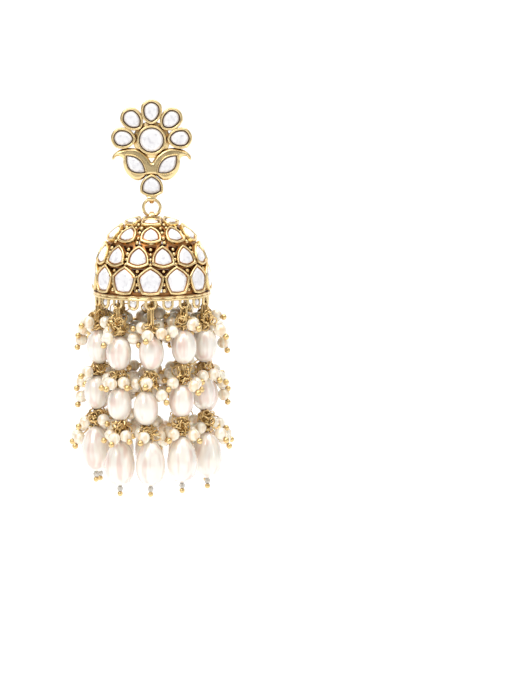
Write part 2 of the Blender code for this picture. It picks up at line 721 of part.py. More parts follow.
def triangulate(outlines, loose):
    """Triangles of the first outline's inside that lie outside all the other outlines."""
    places = []
    faces = []
    for outline in outlines:
        corners = [polar(place) for place in outline]
        face = list(range(len(places), len(places) + len(outline)))
        if sum(corners[i - 1].cross(corners[i]) for i in range(len(corners))) < 0.0:
            face.reverse()
        faces.append(face)
        places.extend(outline)
    places.extend(loose)
    found = delaunay_2d_cdt([polar(place) for place in places], [], faces, 0, 1e-6)
    vertices, triangles, origins, owners = found[0], found[2], found[3], found[5]
    assert len(vertices) == len(places), "two outlines of the dome cross"
    back = [origin[0] for origin in origins]
    kept = [tuple(back[i] for i in triangle)
            for triangle, owner in zip(triangles, owners) if list(owner) == [0]]
    return places, kept


def dome_shell():
    """Pierced shell with raised bezels and stones, and its rim band, as one closed mesh."""
    rows = [[DomeStone(row, index) for index in range(row.count)] for row in STONE_ROWS]
    stones = [stone for row in rows for stone in row]
    band_arc = rim_arc - RIM_BAND_HEIGHT
    cap_arc = CAP_RADIUS
    openings = find_openings(rows, band_arc, cap_arc)
    turns = [FULL_TURN * i / RIM_SIDES for i in range(RIM_SIDES)]
    outer_rim = [(turn, band_arc) for turn in turns]
    bases = [stone.base for stone in stones]
    apex = [(0.0, 0.0)]
    places, outer = triangulate([outer_rim] + bases + openings, apex)
    vertices = [dome_point(turn, arc) for turn, arc in places]
    faces = list(outer)
    start = len(outer_rim)
    for stone, base in zip(stones, bases):
        below = list(range(start, start + len(base)))
        start += len(base)
        for ring in stone.relief():
            first = len(vertices)
            vertices.extend(ring)
            above = list(range(first, first + len(ring)))
            faces.extend([(below[i - 1], below[i], above[i], above[i - 1]) for i in range(len(ring))])
            below = above
        faces.append(tuple(below))
    gap_starts = []
    for opening in openings:
        gap_starts.append(start)
        start += len(opening)
    inner_rim = [(turn, rim_arc) for turn in turns]
    ribs = [(stone.turn, stone.arc) for stone in stones]
    inner_places, inner = triangulate([inner_rim] + openings, apex + ribs)
    offset = len(vertices)
    vertices.extend([dome_point(turn, arc, -DOME_WALL) for turn, arc in inner_places])
    faces.extend([tuple(offset + i for i in reversed(face)) for face in inner])
    inner_start = offset + len(inner_rim)
    for gap_start, opening in zip(gap_starts, openings):
        count = len(opening)
        for i in range(count):
            j = (i + 1) % count
            faces.append((gap_start + i, gap_start + j, inner_start + j, inner_start + i))
        inner_start += count
    band = [list(range(RIM_SIDES))]
    for arc, lift in ((band_arc, RIM_BAND_PROUD), (rim_arc, RIM_BAND_PROUD)):
        band.append(list(range(len(vertices), len(vertices) + RIM_SIDES)))
        vertices.extend([dome_point(turn, arc, lift) for turn in turns])
    band.append(list(range(offset, offset + RIM_SIDES)))
    for ring, following in zip(band, band[1:]):
        faces.extend([(ring[i - 1], ring[i], following[i], following[i - 1]) for i in range(RIM_SIDES)])
    return vertices, faces


def strand_frame(turn):
    """Outward and sideways directions at a place round the rim."""
    return Vector((math.sin(turn), -math.cos(turn), 0.0)), Vector((math.cos(turn), math.sin(turn), 0.0))


def rim_loop(turn):
    """U-shaped wire loop that hangs from the rim band."""
    out, side = strand_frame(turn)
    centre = Vector((0.0, hang_y, 0.0)) + loop_circle * out
    half = 0.5 * LOOP_WIDTH - LOOP_WIRE_RADIUS
    bend_z = loop_wire_z + half
    root = Vector((0.0, 0.0, rim_z + 0.5 * RIM_BAND_HEIGHT))
    path = [centre - half * side + root]
    for step in range(LOOP_PATH_POINTS - 1):
        angle = math.pi * step / (LOOP_PATH_POINTS - 2)
        level = Vector((0.0, 0.0, bend_z - half * math.sin(angle)))
        path.append(centre - half * math.cos(angle) * side + level)
    path.append(centre + half * side + root)
    return swept_wire(path, LOOP_WIRE_RADIUS, LOOP_WIRE_SIDES, out)


def build_dome():
    """Dome with its stones, cap, bail, rim band and the loops under it."""
    dome = add_object("dome", dome_shell(), GOLD, (0.0, hang_y, ring_centre_z), 30.0)
    fuse(dome, add_helper("shape_dome_bail", bail_strap(ring_foot_z, False)))
    loops = merge_meshes([rim_loop(FULL_TURN * i / RIM_LOOPS) for i in range(RIM_LOOPS)])
    fuse(dome, add_helper("shape_rim_loops", loops))


def bead(centre, radius, length, bore, belly, bands, sides):
    """Drilled pearl with its long axis upright. belly moves the widest place down."""
    rings = []
    bore_turn = math.asin(bore / radius)
    for step in range(bands + 1):
        turn = bore_turn + (math.pi - 2.0 * bore_turn) * step / bands
        wide = radius * math.sin(turn) * (1.0 - belly * math.cos(turn)) if 0 < step < bands else bore
        level = centre + Vector((0.0, 0.0, 0.5 * length * math.cos(turn)))
        rings.append(round_ring(level, wide, sides))
    return loft(rings, closed=True)


def round_ring(centre, radius, sides, lobe=0.0):
    """Level ring, with its radius pulled in at every other point by lobe."""
    return [centre + Vector((math.cos(a), math.sin(a), 0.0)) * radius * (1.0 - (lobe if i % 2 else 0.0))
            for i, a in ((i, FULL_TURN * i / sides) for i in range(sides))]


def build_strand(index):
    """One strand: its wire work as one solid, with three drilled pearls on its pins."""
    turn = FULL_TURN * index / STRANDS
    hang = STRAND_HANGS[index]
    out, side = strand_frame(turn)
    plumb = Vector((0.0, hang_y, 0.0)) + loop_circle * out
    pull = PEARL_DIAMETER
    link_top = loop_wire_z + LOOP_WIRE_RADIUS + LINK_WIRE_RADIUS + BEAD_GAP
    link_foot = link_top - LINK_LENGTH + 2 * LINK_WIRE_RADIUS
    bundle_half = 0.5 * BUNDLE_WIDTH
    upper_top = link_foot - LINK_WIRE_RADIUS - UPPER_BUNDLE_HEIGHT
    middle_top = upper_top - UPPER_PEARL_LENGTH - MIDDLE_BUNDLE_HEIGHT
    drop_top = middle_top - MIDDLE_PEARL_LENGTH - LOWER_BUNDLE_HEIGHT
    tiers = (
        ("upper", upper_top + hang.upper_lift * pull, hang.upper_side, 0.0,
         PEARL_DIAMETER, UPPER_PEARL_LENGTH),
        ("middle", middle_top + hang.middle_lift * pull, hang.middle_side, hang.middle_out,
         PEARL_DIAMETER, MIDDLE_PEARL_LENGTH),
        ("drop", drop_top + hang.drop_lift * pull, hang.drop_side, hang.drop_out,
         DROP_PEARL_DIAMETER, DROP_PEARL_LENGTH),
    )
    bore = PIN_RADIUS + BEAD_GAP
    pin_sides = BUNDLE_SIDES // 2
    rings = []
    above = plumb + Vector((0.0, 0.0, link_foot + LINK_WIRE_RADIUS))
    rings.append([above])
    for name, top, sideways, outwards, wide, length in tiers:
        axis = plumb + (sideways * pull) * side + (outwards * pull) * out
        high = above.z - BEAD_GAP
        low = top + BEAD_GAP
        for shape in BUNDLE_RINGS:
            level = high + (low - high) * shape.down
            centre = above.lerp(axis, shape.lean)
            rings.append(round_ring(Vector((centre.x, centre.y, level)), bundle_half * shape.width,
                                    BUNDLE_SIDES, BUNDLE_LOBE_DEPTH))
        rings.append(round_ring(Vector((axis.x, axis.y, low)), PIN_RADIUS, pin_sides))
        foot = top - length - BEAD_GAP
        rings.append(round_ring(Vector((axis.x, axis.y, foot)), PIN_RADIUS, pin_sides))
        middle = Vector((axis.x, axis.y, top - 0.5 * length))
        belly = DROP_PEARL_BELLY if name == "drop" else 0.0
        bands = DROP_PEARL_BANDS if name == "drop" else PEARL_BANDS
        pearl = bead(middle, 0.5 * wide, length, bore, belly, bands, PEARL_SIDES)
        add_object(f"{name}_pearl_{index + 1:02d}", pearl, PEARL, middle)
        above = Vector((axis.x, axis.y, foot))
    bead_z = above.z - END_BEAD_RADIUS
    rings.append(round_ring(Vector((above.x, above.y, bead_z)), END_BEAD_RADIUS, BUNDLE_SIDES))
    ball_z = bead_z - END_BEAD_RADIUS - END_BALL_RADIUS
    rings.append(round_ring(Vector((above.x, above.y, bead_z - END_BEAD_RADIUS)), PIN_RADIUS, pin_sides))
    rings.append(round_ring(Vector((above.x, above.y, ball_z)), END_BALL_RADIUS, BUNDLE_SIDES))
    rings.append([Vector((above.x, above.y, ball_z - END_BALL_RADIUS))])
    chain = add_object(f"strand_chain_{index + 1:02d}", loft(rings), GOLD, plumb + Vector((0, 0, link_top)))
    fuse(chain, add_helper(f"shape_link_{index + 1:02d}", oval_link(plumb, out, side, link_top, link_foot)))


def oval_link(plumb, out, side, top, foot):
    """Long link through a rim loop, its lower end inside the first wire bundle."""
    across = math.cos(LINK_TURN) * out + math.sin(LINK_TURN) * side
    normal = across.cross(Vector((0.0, 0.0, 1.0)))
    half = 0.5 * LINK_WIDTH - LINK_WIRE_RADIUS
    sunk = LINK_SUNK_SHARE * UPPER_BUNDLE_HEIGHT
    bend_top = top - half
    bend_foot = foot - sunk + half
    path = []
    for step in range(LINK_PATH_POINTS):
        share = step % (LINK_PATH_POINTS // 2) / (LINK_PATH_POINTS // 2 - 1)
        upper = step < LINK_PATH_POINTS // 2
        angle = math.pi * share if upper else math.pi * (1.0 + share)
        level = bend_top if upper else bend_foot
        rise = Vector((0.0, 0.0, level + half * math.sin(angle)))
        path.append(plumb + half * math.cos(angle) * across + rise)
    return swept_wire(path, LINK_WIRE_RADIUS, LOOP_WIRE_SIDES, normal, closed=True)


build_stud()
build_post()
build_ring()
build_dome()
for strand in range(STRANDS):
    build_strand(strand)
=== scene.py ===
"""Dressed jhumka earring: plated metal, foil-backed stones, pearls and wire work around the frame.

Lengths inside the making functions are in millimetres and each piece is scaled once, when it is
linked. The front faces -Y, X runs to the right of the front view and Z is up.
"""

import functools
import math
import random

import bmesh
import bpy
import numpy as np
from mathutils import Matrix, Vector
from mathutils.geometry import delaunay_2d_cdt


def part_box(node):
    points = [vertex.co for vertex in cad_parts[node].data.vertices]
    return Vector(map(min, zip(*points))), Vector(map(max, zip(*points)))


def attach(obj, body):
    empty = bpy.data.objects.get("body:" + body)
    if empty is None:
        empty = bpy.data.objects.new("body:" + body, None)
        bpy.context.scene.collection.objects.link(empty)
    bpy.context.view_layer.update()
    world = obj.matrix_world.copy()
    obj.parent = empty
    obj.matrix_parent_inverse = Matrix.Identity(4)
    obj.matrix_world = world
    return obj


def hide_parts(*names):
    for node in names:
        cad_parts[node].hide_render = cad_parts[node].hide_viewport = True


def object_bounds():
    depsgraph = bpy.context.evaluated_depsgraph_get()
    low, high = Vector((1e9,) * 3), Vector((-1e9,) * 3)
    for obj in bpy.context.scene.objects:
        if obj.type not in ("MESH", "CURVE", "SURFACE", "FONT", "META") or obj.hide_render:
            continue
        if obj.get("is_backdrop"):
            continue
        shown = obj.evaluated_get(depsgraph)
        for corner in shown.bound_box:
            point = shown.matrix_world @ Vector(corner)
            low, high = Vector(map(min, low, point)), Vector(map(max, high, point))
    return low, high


bl_info = {
    "name": "Jhumka Earring",
    "version": (1, 0, 0),
    "blender": (4, 5, 0),
    "location": "3D View > Sidebar > Earring",
    "description": "Builds a jhumka earring with stones, a pierced dome and pearl strands",
    "category": "Add Mesh",
}

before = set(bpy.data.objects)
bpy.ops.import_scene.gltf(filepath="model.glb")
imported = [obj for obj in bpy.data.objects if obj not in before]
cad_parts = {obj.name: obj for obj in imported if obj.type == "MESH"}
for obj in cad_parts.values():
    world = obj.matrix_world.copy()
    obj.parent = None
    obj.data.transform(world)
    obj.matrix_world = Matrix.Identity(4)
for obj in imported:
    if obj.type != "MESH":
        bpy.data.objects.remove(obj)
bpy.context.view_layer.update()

MM = 0.001
FULL_TURN = 2.0 * math.pi
UP = np.array((0.0, 0.0, 1.0))


def box_mm(node):
    """Lowest and highest corner of a frame node, in millimetres."""
    low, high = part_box(node)
    return np.array(low) / MM, np.array(high) / MM


# Places taken from the frame
STRANDS = 10
RING_LOW, RING_HIGH = box_mm("swing_ring")
POST_LOW, POST_HIGH = box_mm("ear_post")
HANG_Y = float(0.5 * (RING_LOW[1] + RING_HIGH[1]))
RING_WIRE = float(0.5 * (RING_HIGH[1] - RING_LOW[1]))
RING_CENTRE_Z = float(0.5 * (RING_LOW[2] + RING_HIGH[2]))
RING_RADIUS = float(0.5 * (RING_HIGH[2] - RING_LOW[2]) - RING_WIRE)

# Flower, leaf frame and drop, as in the frame's own solids
CUP_HEIGHT = 1.75
CENTRE_CUP_HEIGHT = 1.80
LEAF_CUP_HEIGHT = 1.66
CUP_BACK = 0.15
CUP_FLOOR = 0.80
CENTRE_STONE = 5.30
PETAL_WIDTH = 3.30
PETAL_LENGTH = 4.15
PETAL_SOFTNESS = 0.12
PETAL_COUNT = 5
PETAL_SPACE = 0.22
PETAL_FIRST = math.radians(3.5)
PETAL_LAST = math.radians(176.5)
CUP_WALL = 0.60
PETAL_RIDGE = 0.68
LEAF_RIDGE = 0.40
DROP_RIDGE = 0.58
RIDGE_CREST = 0.42
RIDGE_BENDS = 6
RIDGE_FALL = 1.4
GROOVE_FALL = 1.9
GROOVE_GROWTH = 0.02
STONE_GAP = 0.13
STONE_SEAT = 0.05
GIRDLE_DEPTH = 0.42
TABLE_RISE = 0.22
DROP_WIDTH = 3.95
DROP_HEIGHT = 3.80
DROP_SOFTNESS = 0.24
DROP_CENTRE_Z = -9.94
LEAF_LENGTH = 5.40
LEAF_UPPER_BULGE = 1.25
LEAF_LOWER_BULGE = 1.80
LEAF_TILT = math.radians(42.5)
LEAF_TIP_X = 1.45
LEAF_TIP_Z = -7.10
LEAF_TIP_GROWTH = 2.6
LEAF_FRAME_WIDTH = 17.3
LEAF_FRAME_HEIGHT = 7.1
LEAF_FRAME_TOP = -1.80
LEAF_PLATE_BACK = 0.08
LEAF_PLATE_FRONT = 1.42
LEAF_PLATE_ROLL = 0.75
LEAF_PLATE_PITCH = 0.22
LEAF_HOLE_GROWTH = 0.20
LEAF_CURVE_STEPS = 4
OUTLINE_POINTS = 48

# Outline of the right half of the leaf frame: shares across half its width and down its height
LEAF_FRAME_OUTLINE = (
    (0.00, 0.44), (0.06, 0.345), (0.17, 0.172), (0.36, 0.03), (0.59, 0.00), (0.82, 0.065), (0.96, 0.19),
    (1.00, 0.29), (0.995, 0.36), (0.94, 0.34), (0.89, 0.265), (0.79, 0.265), (0.72, 0.345), (0.72, 0.46),
    (0.69, 0.64), (0.61, 0.81), (0.47, 0.96), (0.33, 1.00), (0.22, 0.95), (0.13, 0.86), (0.00, 0.84),
)

# Back plate: radius, and distance in front of the stud's back where negative
BACK_PLATE_PROFILE = ((3.90, 0.00), (4.05, -0.12), (4.05, -0.60), (3.90, -0.72))
BACK_PLATE_SIDES = 48

# Straps bent round the ring: hole, metal and width on their wide and narrow sides
STUD_BAIL_HOLE = 0.60
STUD_BAIL_METAL = 0.37
DOME_BAIL_HOLE = 0.585
DOME_BAIL_METAL = 0.385
BAIL_WIDE = 2.45
BAIL_NARROW = 0.75
BAIL_STEPS = 40
BAIL_INNER_EDGE = 0.08
BAIL_OUTER_EDGE = 0.10
BAIL_OUTER_SIDE = 0.12

# Swing ring, polished a little thicker than its solid
RING_GROWTH = 1.18
RING_STEPS = 64
RING_SIDES = 16

# Ear post: pad as inset from its edge and rise, shank as radius and rise, tip as radius and depth
PAD_PROFILE = ((0.10, 0.00), (0.00, 0.10), (0.00, 0.30), (0.12, 0.40))
SHANK_PROFILE = ((0.60, 0.42), (0.44, 0.60), (0.42, 0.90))
TIP_PROFILE = (
    (0.42, 1.90), (0.36, 1.70), (0.36, 1.50), (0.42, 1.30), (0.42, 0.40), (0.34, 0.12), (0.18, 0.00),
    (0.02, 0.00),
)
POST_AXIS = 0.02
POST_SIDES = 32

# Dome: the same curve as the frame's, and its rows of stones as count, turn in steps of the row,
# height share, width as a share of the radius, height of the dome's height, corners and softness
DOME_RADIUS = 12.30
DOME_HEIGHT = 16.75
DOME_SQUARENESS = 2.35
RIM_Z = RING_CENTRE_Z - RING_RADIUS - 0.60 - DOME_HEIGHT
STONE_ROWS = (
    (6, 0.0, 0.958, 0.275, 0.140, 3, 0.20),
    (10, 0.0, 0.816, 0.285, 0.212, 3, 0.34),
    (13, 0.5, 0.556, 0.320, 0.235, 3, 0.38),
    (13, 0.0, 0.256, 0.396, 0.308, 5, 0.62),
)
STONE_POINTS = {3: 45, 5: 50}
DOME_RIDGE = 0.56
DOME_CUP_LOW = -0.62
DOME_CUP_HIGH = 0.68
DOME_CUP_FLOOR = 0.10
DOME_SEAT = 0.12
DOME_GIRDLE = 0.38
DOME_TABLE = 0.82
CURVE_STEPS = 4001
CURVE_REACH = 8

# Granules: heights between two settings of a row, as shares of the setting's height
GRANULE_RADIUS = 0.43
GRANULE_RISES = (-0.416, -0.16, 0.128, 0.384)
GRANULE_LOWEST = 0.055
GRANULE_HIGHEST = 0.985
GRANULE_LIFT = 0.10

# Rim: band as distance from the dome's radius and height, and the loops and small stones below it
RIM_BAND_PROFILE = (
    (-0.85, 0.05), (-0.85, -0.02), (0.43, -0.04), (0.58, 0.10), (0.62, 0.30), (0.48, 0.52), (0.56, 0.72),
    (0.48, 0.98), (0.23, 1.06), (-0.30, 1.04), (-0.30, 0.05),
)
RIM_STEPS = 180
RIM_LOOPS = 20
LOOP_CIRCLE = 12.175
LOOP_WIDTH = 2.60
LOOP_DROP = 2.20
LOOP_METAL = 0.30
LOOP_POLISHED = 0.325
LOOP_LEG = 1.90
LOOP_BENDS = 14
LOOP_STONE_RISE = 1.36
LOOP_STONE_PROFILE = ((0.72, -0.20), (0.76, 0.10), (0.56, 0.26), (0.30, 0.34))
LOOP_STONE_SIDES = 20

# Connector links
LINK_LENGTH = 4.2
LINK_HALF_WIDTH = 0.62
LINK_RISE = 0.35
LINK_WIRE = 0.20
LINK_WIRE_SHIFTS = (-0.24, 0.24)
LINK_TURN = 0.7
LINK_POINTS = 28

# Wire bundles, as shares of the space between two pearls and as millimetres
FIRST_BUNDLE_DROP = 3.2
OTHER_BUNDLE_DROP = 1.2
BUNDLE_TOP = 0.14
BUNDLE_SPAN = 0.74
BUNDLE_SPREAD = (0.25, 1.85)
LOOP_SIZE = (0.75, 1.25)
LOOP_STRETCH = (0.75, 1.15)
LOOP_POINTS = 14
ROOMY_BUNDLE = 2.4
COIL_RADIUS = 0.5
COIL_START = 0.16
COIL_PITCH = 0.30
COIL_STEP = 12
COIL_POINTS = 31
WIRE_SIDES = 6

# Pins and end beads, measured from a pearl's end
PIN_RADIUS = 0.24
PIN_ABOVE = 0.4
PIN_INTO_PEARL = 1.2
END_PIN_RADIUS = 0.12
END_PIN_INTO_PEARL = 1.0
END_PIN_LENGTH = 1.4
END_BEAD_RADIUS = 0.66
END_BEAD_DROP = 0.60
END_BALL_RADIUS = 0.60
END_BALL_DROP = 1.72

# Seed pearls: reach and fall of their pins; those at the back have long pins in every second place
SEED_REACH = (1.9, 3.4)
SEED_FALL = (-0.9, 2.9)
LOWER_TIER_FALL = 0.4
LONG_REACH = (3.1, 4.0)
LONG_FALL = (2.6, 6.6)
SEEDS_MORE_BEHIND = 5
SEED_ROOT = 0.55
SEED_SWAY = 0.42
LONG_SWAY = 0.25
TETHER = 3.7
SEED_CLEARANCE = 0.05
SEED_SPACING = 1.02
PUSH_ROUNDS = 90
SEED_DROOP = np.array((0.0, 0.0, -0.35))

# Large pearls
PEARL_BORE = 0.33
PEARL_FULLNESS = 1.02
PEARL_SHOULDER = 0.94
PEARL_EGG = 0.15
PEARL_SIDES = 40
PEARL_BANDS = 30

# Sizes of the surfaces' patterns; plating grain and paper fibre are drawn coarser than they are, to show
PLATING_CLOUD = 2.2
PLATING_GRAIN = 0.45
PLATING_GRAIN_DEPTH = 0.03
FOIL_CRINKLE = 1.3
FOIL_CRINKLE_DEPTH = 0.08
FOIL_RIPPLE = 0.9
PEARL_CLOUD = 4.5
PEARL_FOLD = 1.3
SEED_FOLD = 0.9
PEARL_FOLD_DEPTH = 0.24
PEARL_FOLD_SQUEEZE = (1.0, 1.0, 0.12)
GLASS_CLOUD = 0.6
PAPER_FIBRE = 2.5

# Stage, in metres, with the camera's sensor in millimetres
FLOOR_DROP = 0.060
PAPER_FRONT = -1.6
PAPER_BEND_FROM = 0.35
PAPER_BEND = 0.5
PAPER_BENDS = 12
PAPER_TOP = 2.2
SKY_STRENGTH = 0.46
SENSOR_HEIGHT = 24.0

# Edges sharper than this, in degrees, stay sharp
FACET_EDGE = 9.0
SMALL_STONE_EDGE = 30.0
SOFT_EDGE = 40.0
METAL_EDGE = 50.0
WIRE_EDGE = 60.0


# Meshes

def merged(parts):
    """Several meshes as one list of points and faces."""
    points = []
    faces = []
    for part_points, part_faces in parts:
        start = sum(len(block) for block in points)
        points.append(np.asarray(part_points, float).reshape(-1, 3))
        faces.extend([tuple(start + index for index in face) for face in part_faces])
    return np.concatenate(points), faces


def loft(rings, closed=False, capped=True):
    """Skin rings of equal length. Closed joins the last ring to the first."""
    count = len(rings[0])
    points = np.concatenate([np.asarray(ring, float) for ring in rings])
    faces = []
    for step in range(len(rings) if closed else len(rings) - 1):
        low, high = step * count, (step + 1) % len(rings) * count
        for i, following in enumerate((*range(1, count), 0)):
            faces.append((low + i, low + following, high + following, high + i))
    if capped and not closed:
        faces.append(tuple(reversed(range(count))))
        faces.append(tuple(range(len(points) - count, len(points))))
    return points, faces


def wire(path, radius, sides, flat, closed=False):
    """Round wire along a nearly flat path; flat is the direction at right angles to it."""
    points = np.asarray(path, float)
    ahead = np.roll(points, -1, 0) - np.roll(points, 1, 0)
    if not closed:
        ahead[0] = points[1] - points[0]
        ahead[-1] = points[-1] - points[-2]
    ahead /= np.linalg.norm(ahead, axis=1)[:, None]
    out = np.cross(ahead, np.asarray(flat, float))
    out /= np.linalg.norm(out, axis=1)[:, None]
    over = np.cross(out, ahead)
    turns = [FULL_TURN * i / sides for i in range(sides)]
    rings = np.stack([points + radius * (math.cos(t) * out + math.sin(t) * over) for t in turns], axis=1)
    return loft(list(rings), closed)


def circle_path(centre, first, second, radius, count, stretch=1.0):
    """Points of a circle, or of an oval stretched along second."""
    centre, first, second = (np.asarray(item) for item in (centre, first, second))
    return [centre + radius * (math.cos(t) * first + stretch * math.sin(t) * second)
            for t in (FULL_TURN * i / count for i in range(count))]


def level_circle(centre, radius, count):
    """Points of a level circle."""
    return circle_path(centre, (1, 0, 0), (0, 1, 0), radius, count)


def turned(profile, centre, sides):
    """Solid turned round an upright axis, from (radius, height) pairs."""
    return loft([level_circle(np.asarray(centre) + height * UP, max(radius, 0.001), sides)
                 for radius, height in profile])


def turned_across(profile, sides):
    """Solid turned round the front-to-back axis through the post, from (radius, depth) pairs."""
    return loft([circle_path((0.0, depth, 0.0), (1, 0, 0), (0, 0, 1), radius, sides)
                 for radius, depth in profile])


def ball(centre, radius, sides=12, bands=8):
    """Round bead or ball end."""
    return turned([(radius * math.sin(math.pi * k / bands), radius * math.cos(math.pi * k / bands))
                   for k in range(bands + 1)], centre, sides)


def add_piece(name, mesh_data, material, body, replaces=(), sharp=SOFT_EDGE):
    """Link a mesh given in millimetres, finish it and let it ride on its body."""
    points, faces = mesh_data
    mesh = bpy.data.meshes.new(name)
    mesh.from_pydata([tuple(point) for point in np.asarray(points) * MM], [], faces)
    mesh.validate()
    mesh.shade_smooth()
    mesh.set_sharp_from_angle(angle=math.radians(sharp))
    mesh.materials.append(material)
    piece = bpy.data.objects.new(name, mesh)
    bpy.context.scene.collection.objects.link(piece)
    recalculate_normals(mesh)
    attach(piece, body)
    if replaces:
        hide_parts(*replaces)
    return piece


def recalculate_normals(mesh):
    """Turn every shell's faces outwards."""
    work = bmesh.new()
    work.from_mesh(mesh)
    bmesh.ops.delete(work, geom=[point for point in work.verts if not point.link_faces], context="VERTS")
    bmesh.ops.recalc_face_normals(work, faces=work.faces)
    work.to_mesh(mesh)
    work.free()


# Materials

def linear(hex_colour):
    """Linear RGB of an sRGB hex colour."""
    values = [int(hex_colour[i:i + 2], 16) / 255.0 for i in (1, 3, 5)]
    return tuple(v / 12.92 if v <= 0.04045 else ((v + 0.055) / 1.055) ** 2.4 for v in values)


def add_node(tree, kind, sockets=None, stops=(), **settings):
    """Add a node, set its settings, inputs and colour stops; an input takes a value or an output."""
    node = tree.nodes.new(kind)
    for name, value in settings.items():
        setattr(node, name, value)
    for key, value in (sockets or {}).items():
        if isinstance(value, bpy.types.NodeSocket):
            tree.links.new(value, node.inputs[key])
        else:
            node.inputs[key].default_value = value
    for number, (place, colour) in enumerate(stops):
        if number > 1:
            node.color_ramp.elements.new(place)
        node.color_ramp.elements[number].position = place
        node.color_ramp.elements[number].color = (*colour, 1.0)
    return node


def new_material(name, values):
    """Principled material with its plain values set; returns it with its tree and shader."""
    material = bpy.data.materials.new(name)
    material.use_nodes = True
    tree = material.node_tree
    shader = tree.nodes["Principled BSDF"]
    for key, value in values.items():
        shader.inputs[key].default_value = value
    return material, tree, shader


def repeats(size):
    """Scale of a pattern whose size is in millimetres, in repeats a metre."""
    return 1.0 / (size * MM)


def between(first, second):
    """Colour halfway between two."""
    return tuple(0.5 * (a + b) for a, b in zip(first, second))


def plated_brass(name, bright, deep, roughness, recess_mm, shade_inside=False):
    """Cast brass under champagne gold plating, lighter where open and brown in its recesses by ambient
    occlusion: partly oxide, partly painted shade.
    """
    material, tree, shader = new_material(name, {"Metallic": 1.0})
    place = add_node(tree, "ShaderNodeTexCoord").outputs["Object"]
    # Ambient occlusion blends towards the recess colour: brown oxide in the hollows, and painted shade where
    # the recesses are hidden from light.
    hidden = add_node(tree, "ShaderNodeAmbientOcclusion", {"Distance": recess_mm * MM}, samples=8)
    stops = ((0.10, deep), (0.42, between(deep, bright)), (0.80, bright))
    shaded = add_node(tree, "ShaderNodeValToRGB", {"Fac": hidden.outputs["AO"]}, stops)
    cloud = add_node(tree, "ShaderNodeTexNoise", {
        "Vector": place, "Scale": repeats(PLATING_CLOUD), "Detail": 3.0})
    value = add_node(tree, "ShaderNodeMapRange", {
        "Value": cloud.outputs["Fac"], "To Min": 0.90, "To Max": 1.08})
    shade = add_node(tree, "ShaderNodeHueSaturation", {
        "Color": shaded.outputs["Color"], "Value": value.outputs["Result"]})
    tint = shade.outputs["Color"]
    # Faces turned in towards the hanging axis take the recess colour outright: painted shade over the inside
    # of the dome.
    if shade_inside:
        axis = add_node(tree, "ShaderNodeVectorMath", {
            0: place, 1: (0.0, -HANG_Y * MM, 0.0)}, operation="ADD")
        level = add_node(tree, "ShaderNodeVectorMath", {
            0: axis.outputs[0], 1: (1.0, 1.0, 0.0)}, operation="MULTIPLY")
        normal = add_node(tree, "ShaderNodeNewGeometry").outputs["Normal"]
        facing = add_node(tree, "ShaderNodeVectorMath", {
            0: level.outputs[0], 1: normal}, operation="DOT_PRODUCT")
        side = add_node(tree, "ShaderNodeMath", {
            0: facing.outputs["Value"], 1: -0.5 * MM}, operation="LESS_THAN")
        mixed = add_node(tree, "ShaderNodeMix", {
            "Factor": side.outputs[0], "A": tint, "B": (*deep, 1.0)}, data_type="RGBA")
        tint = mixed.outputs["Result"]
    tree.links.new(tint, shader.inputs["Base Color"])
    wear = add_node(tree, "ShaderNodeMapRange", {
        "Value": cloud.outputs["Fac"], "From Min": 0.3, "From Max": 0.7,
        "To Min": roughness - 0.06, "To Max": roughness + 0.08})
    tree.links.new(wear.outputs["Result"], shader.inputs["Roughness"])
    grain = add_node(tree, "ShaderNodeTexNoise", {
        "Vector": place, "Scale": repeats(PLATING_GRAIN), "Detail": 2.0})
    bump = add_node(tree, "ShaderNodeBump", {
        "Height": grain.outputs["Fac"], "Strength": 0.20, "Distance": PLATING_GRAIN_DEPTH * MM})
    tree.links.new(bump.outputs["Normal"], shader.inputs["Normal"])
    return material


def foil_backed_glass(name, face, edge):
    """Flat-cut glass stone on crinkled silver foil, whose polished face flashes white and grey: painted
    glints and painted shade, in random patches of its colour.
    """
    material, tree, shader = new_material(name, {
        "Metallic": 0.12, "IOR": 1.52, "Coat Weight": 1.0, "Coat Roughness": 0.02, "Coat IOR": 1.52})
    place = add_node(tree, "ShaderNodeTexCoord").outputs["Object"]
    crinkle = add_node(tree, "ShaderNodeTexVoronoi", {
        "Vector": place, "Scale": repeats(FOIL_CRINKLE), "Randomness": 1.0})
    ripple = add_node(tree, "ShaderNodeTexNoise", {
        "Vector": place, "Scale": repeats(FOIL_RIPPLE), "Detail": 2.0})
    # Ripple noise paints the foil's glints and shade into the stone's colour, in random patches.
    stops = ((0.22, edge), (0.50, face))
    colour = add_node(tree, "ShaderNodeValToRGB", {"Fac": ripple.outputs["Fac"]}, stops)
    tree.links.new(colour.outputs["Color"], shader.inputs["Base Color"])
    rough = add_node(tree, "ShaderNodeMapRange", {
        "Value": ripple.outputs["Fac"], "To Min": 0.12, "To Max": 0.34})
    tree.links.new(rough.outputs["Result"], shader.inputs["Roughness"])
    bump = add_node(tree, "ShaderNodeBump", {
        "Height": crinkle.outputs["Distance"], "Strength": 0.25, "Distance": FOIL_CRINKLE_DEPTH * MM})
    tree.links.new(bump.outputs["Normal"], shader.inputs["Normal"])
    return material


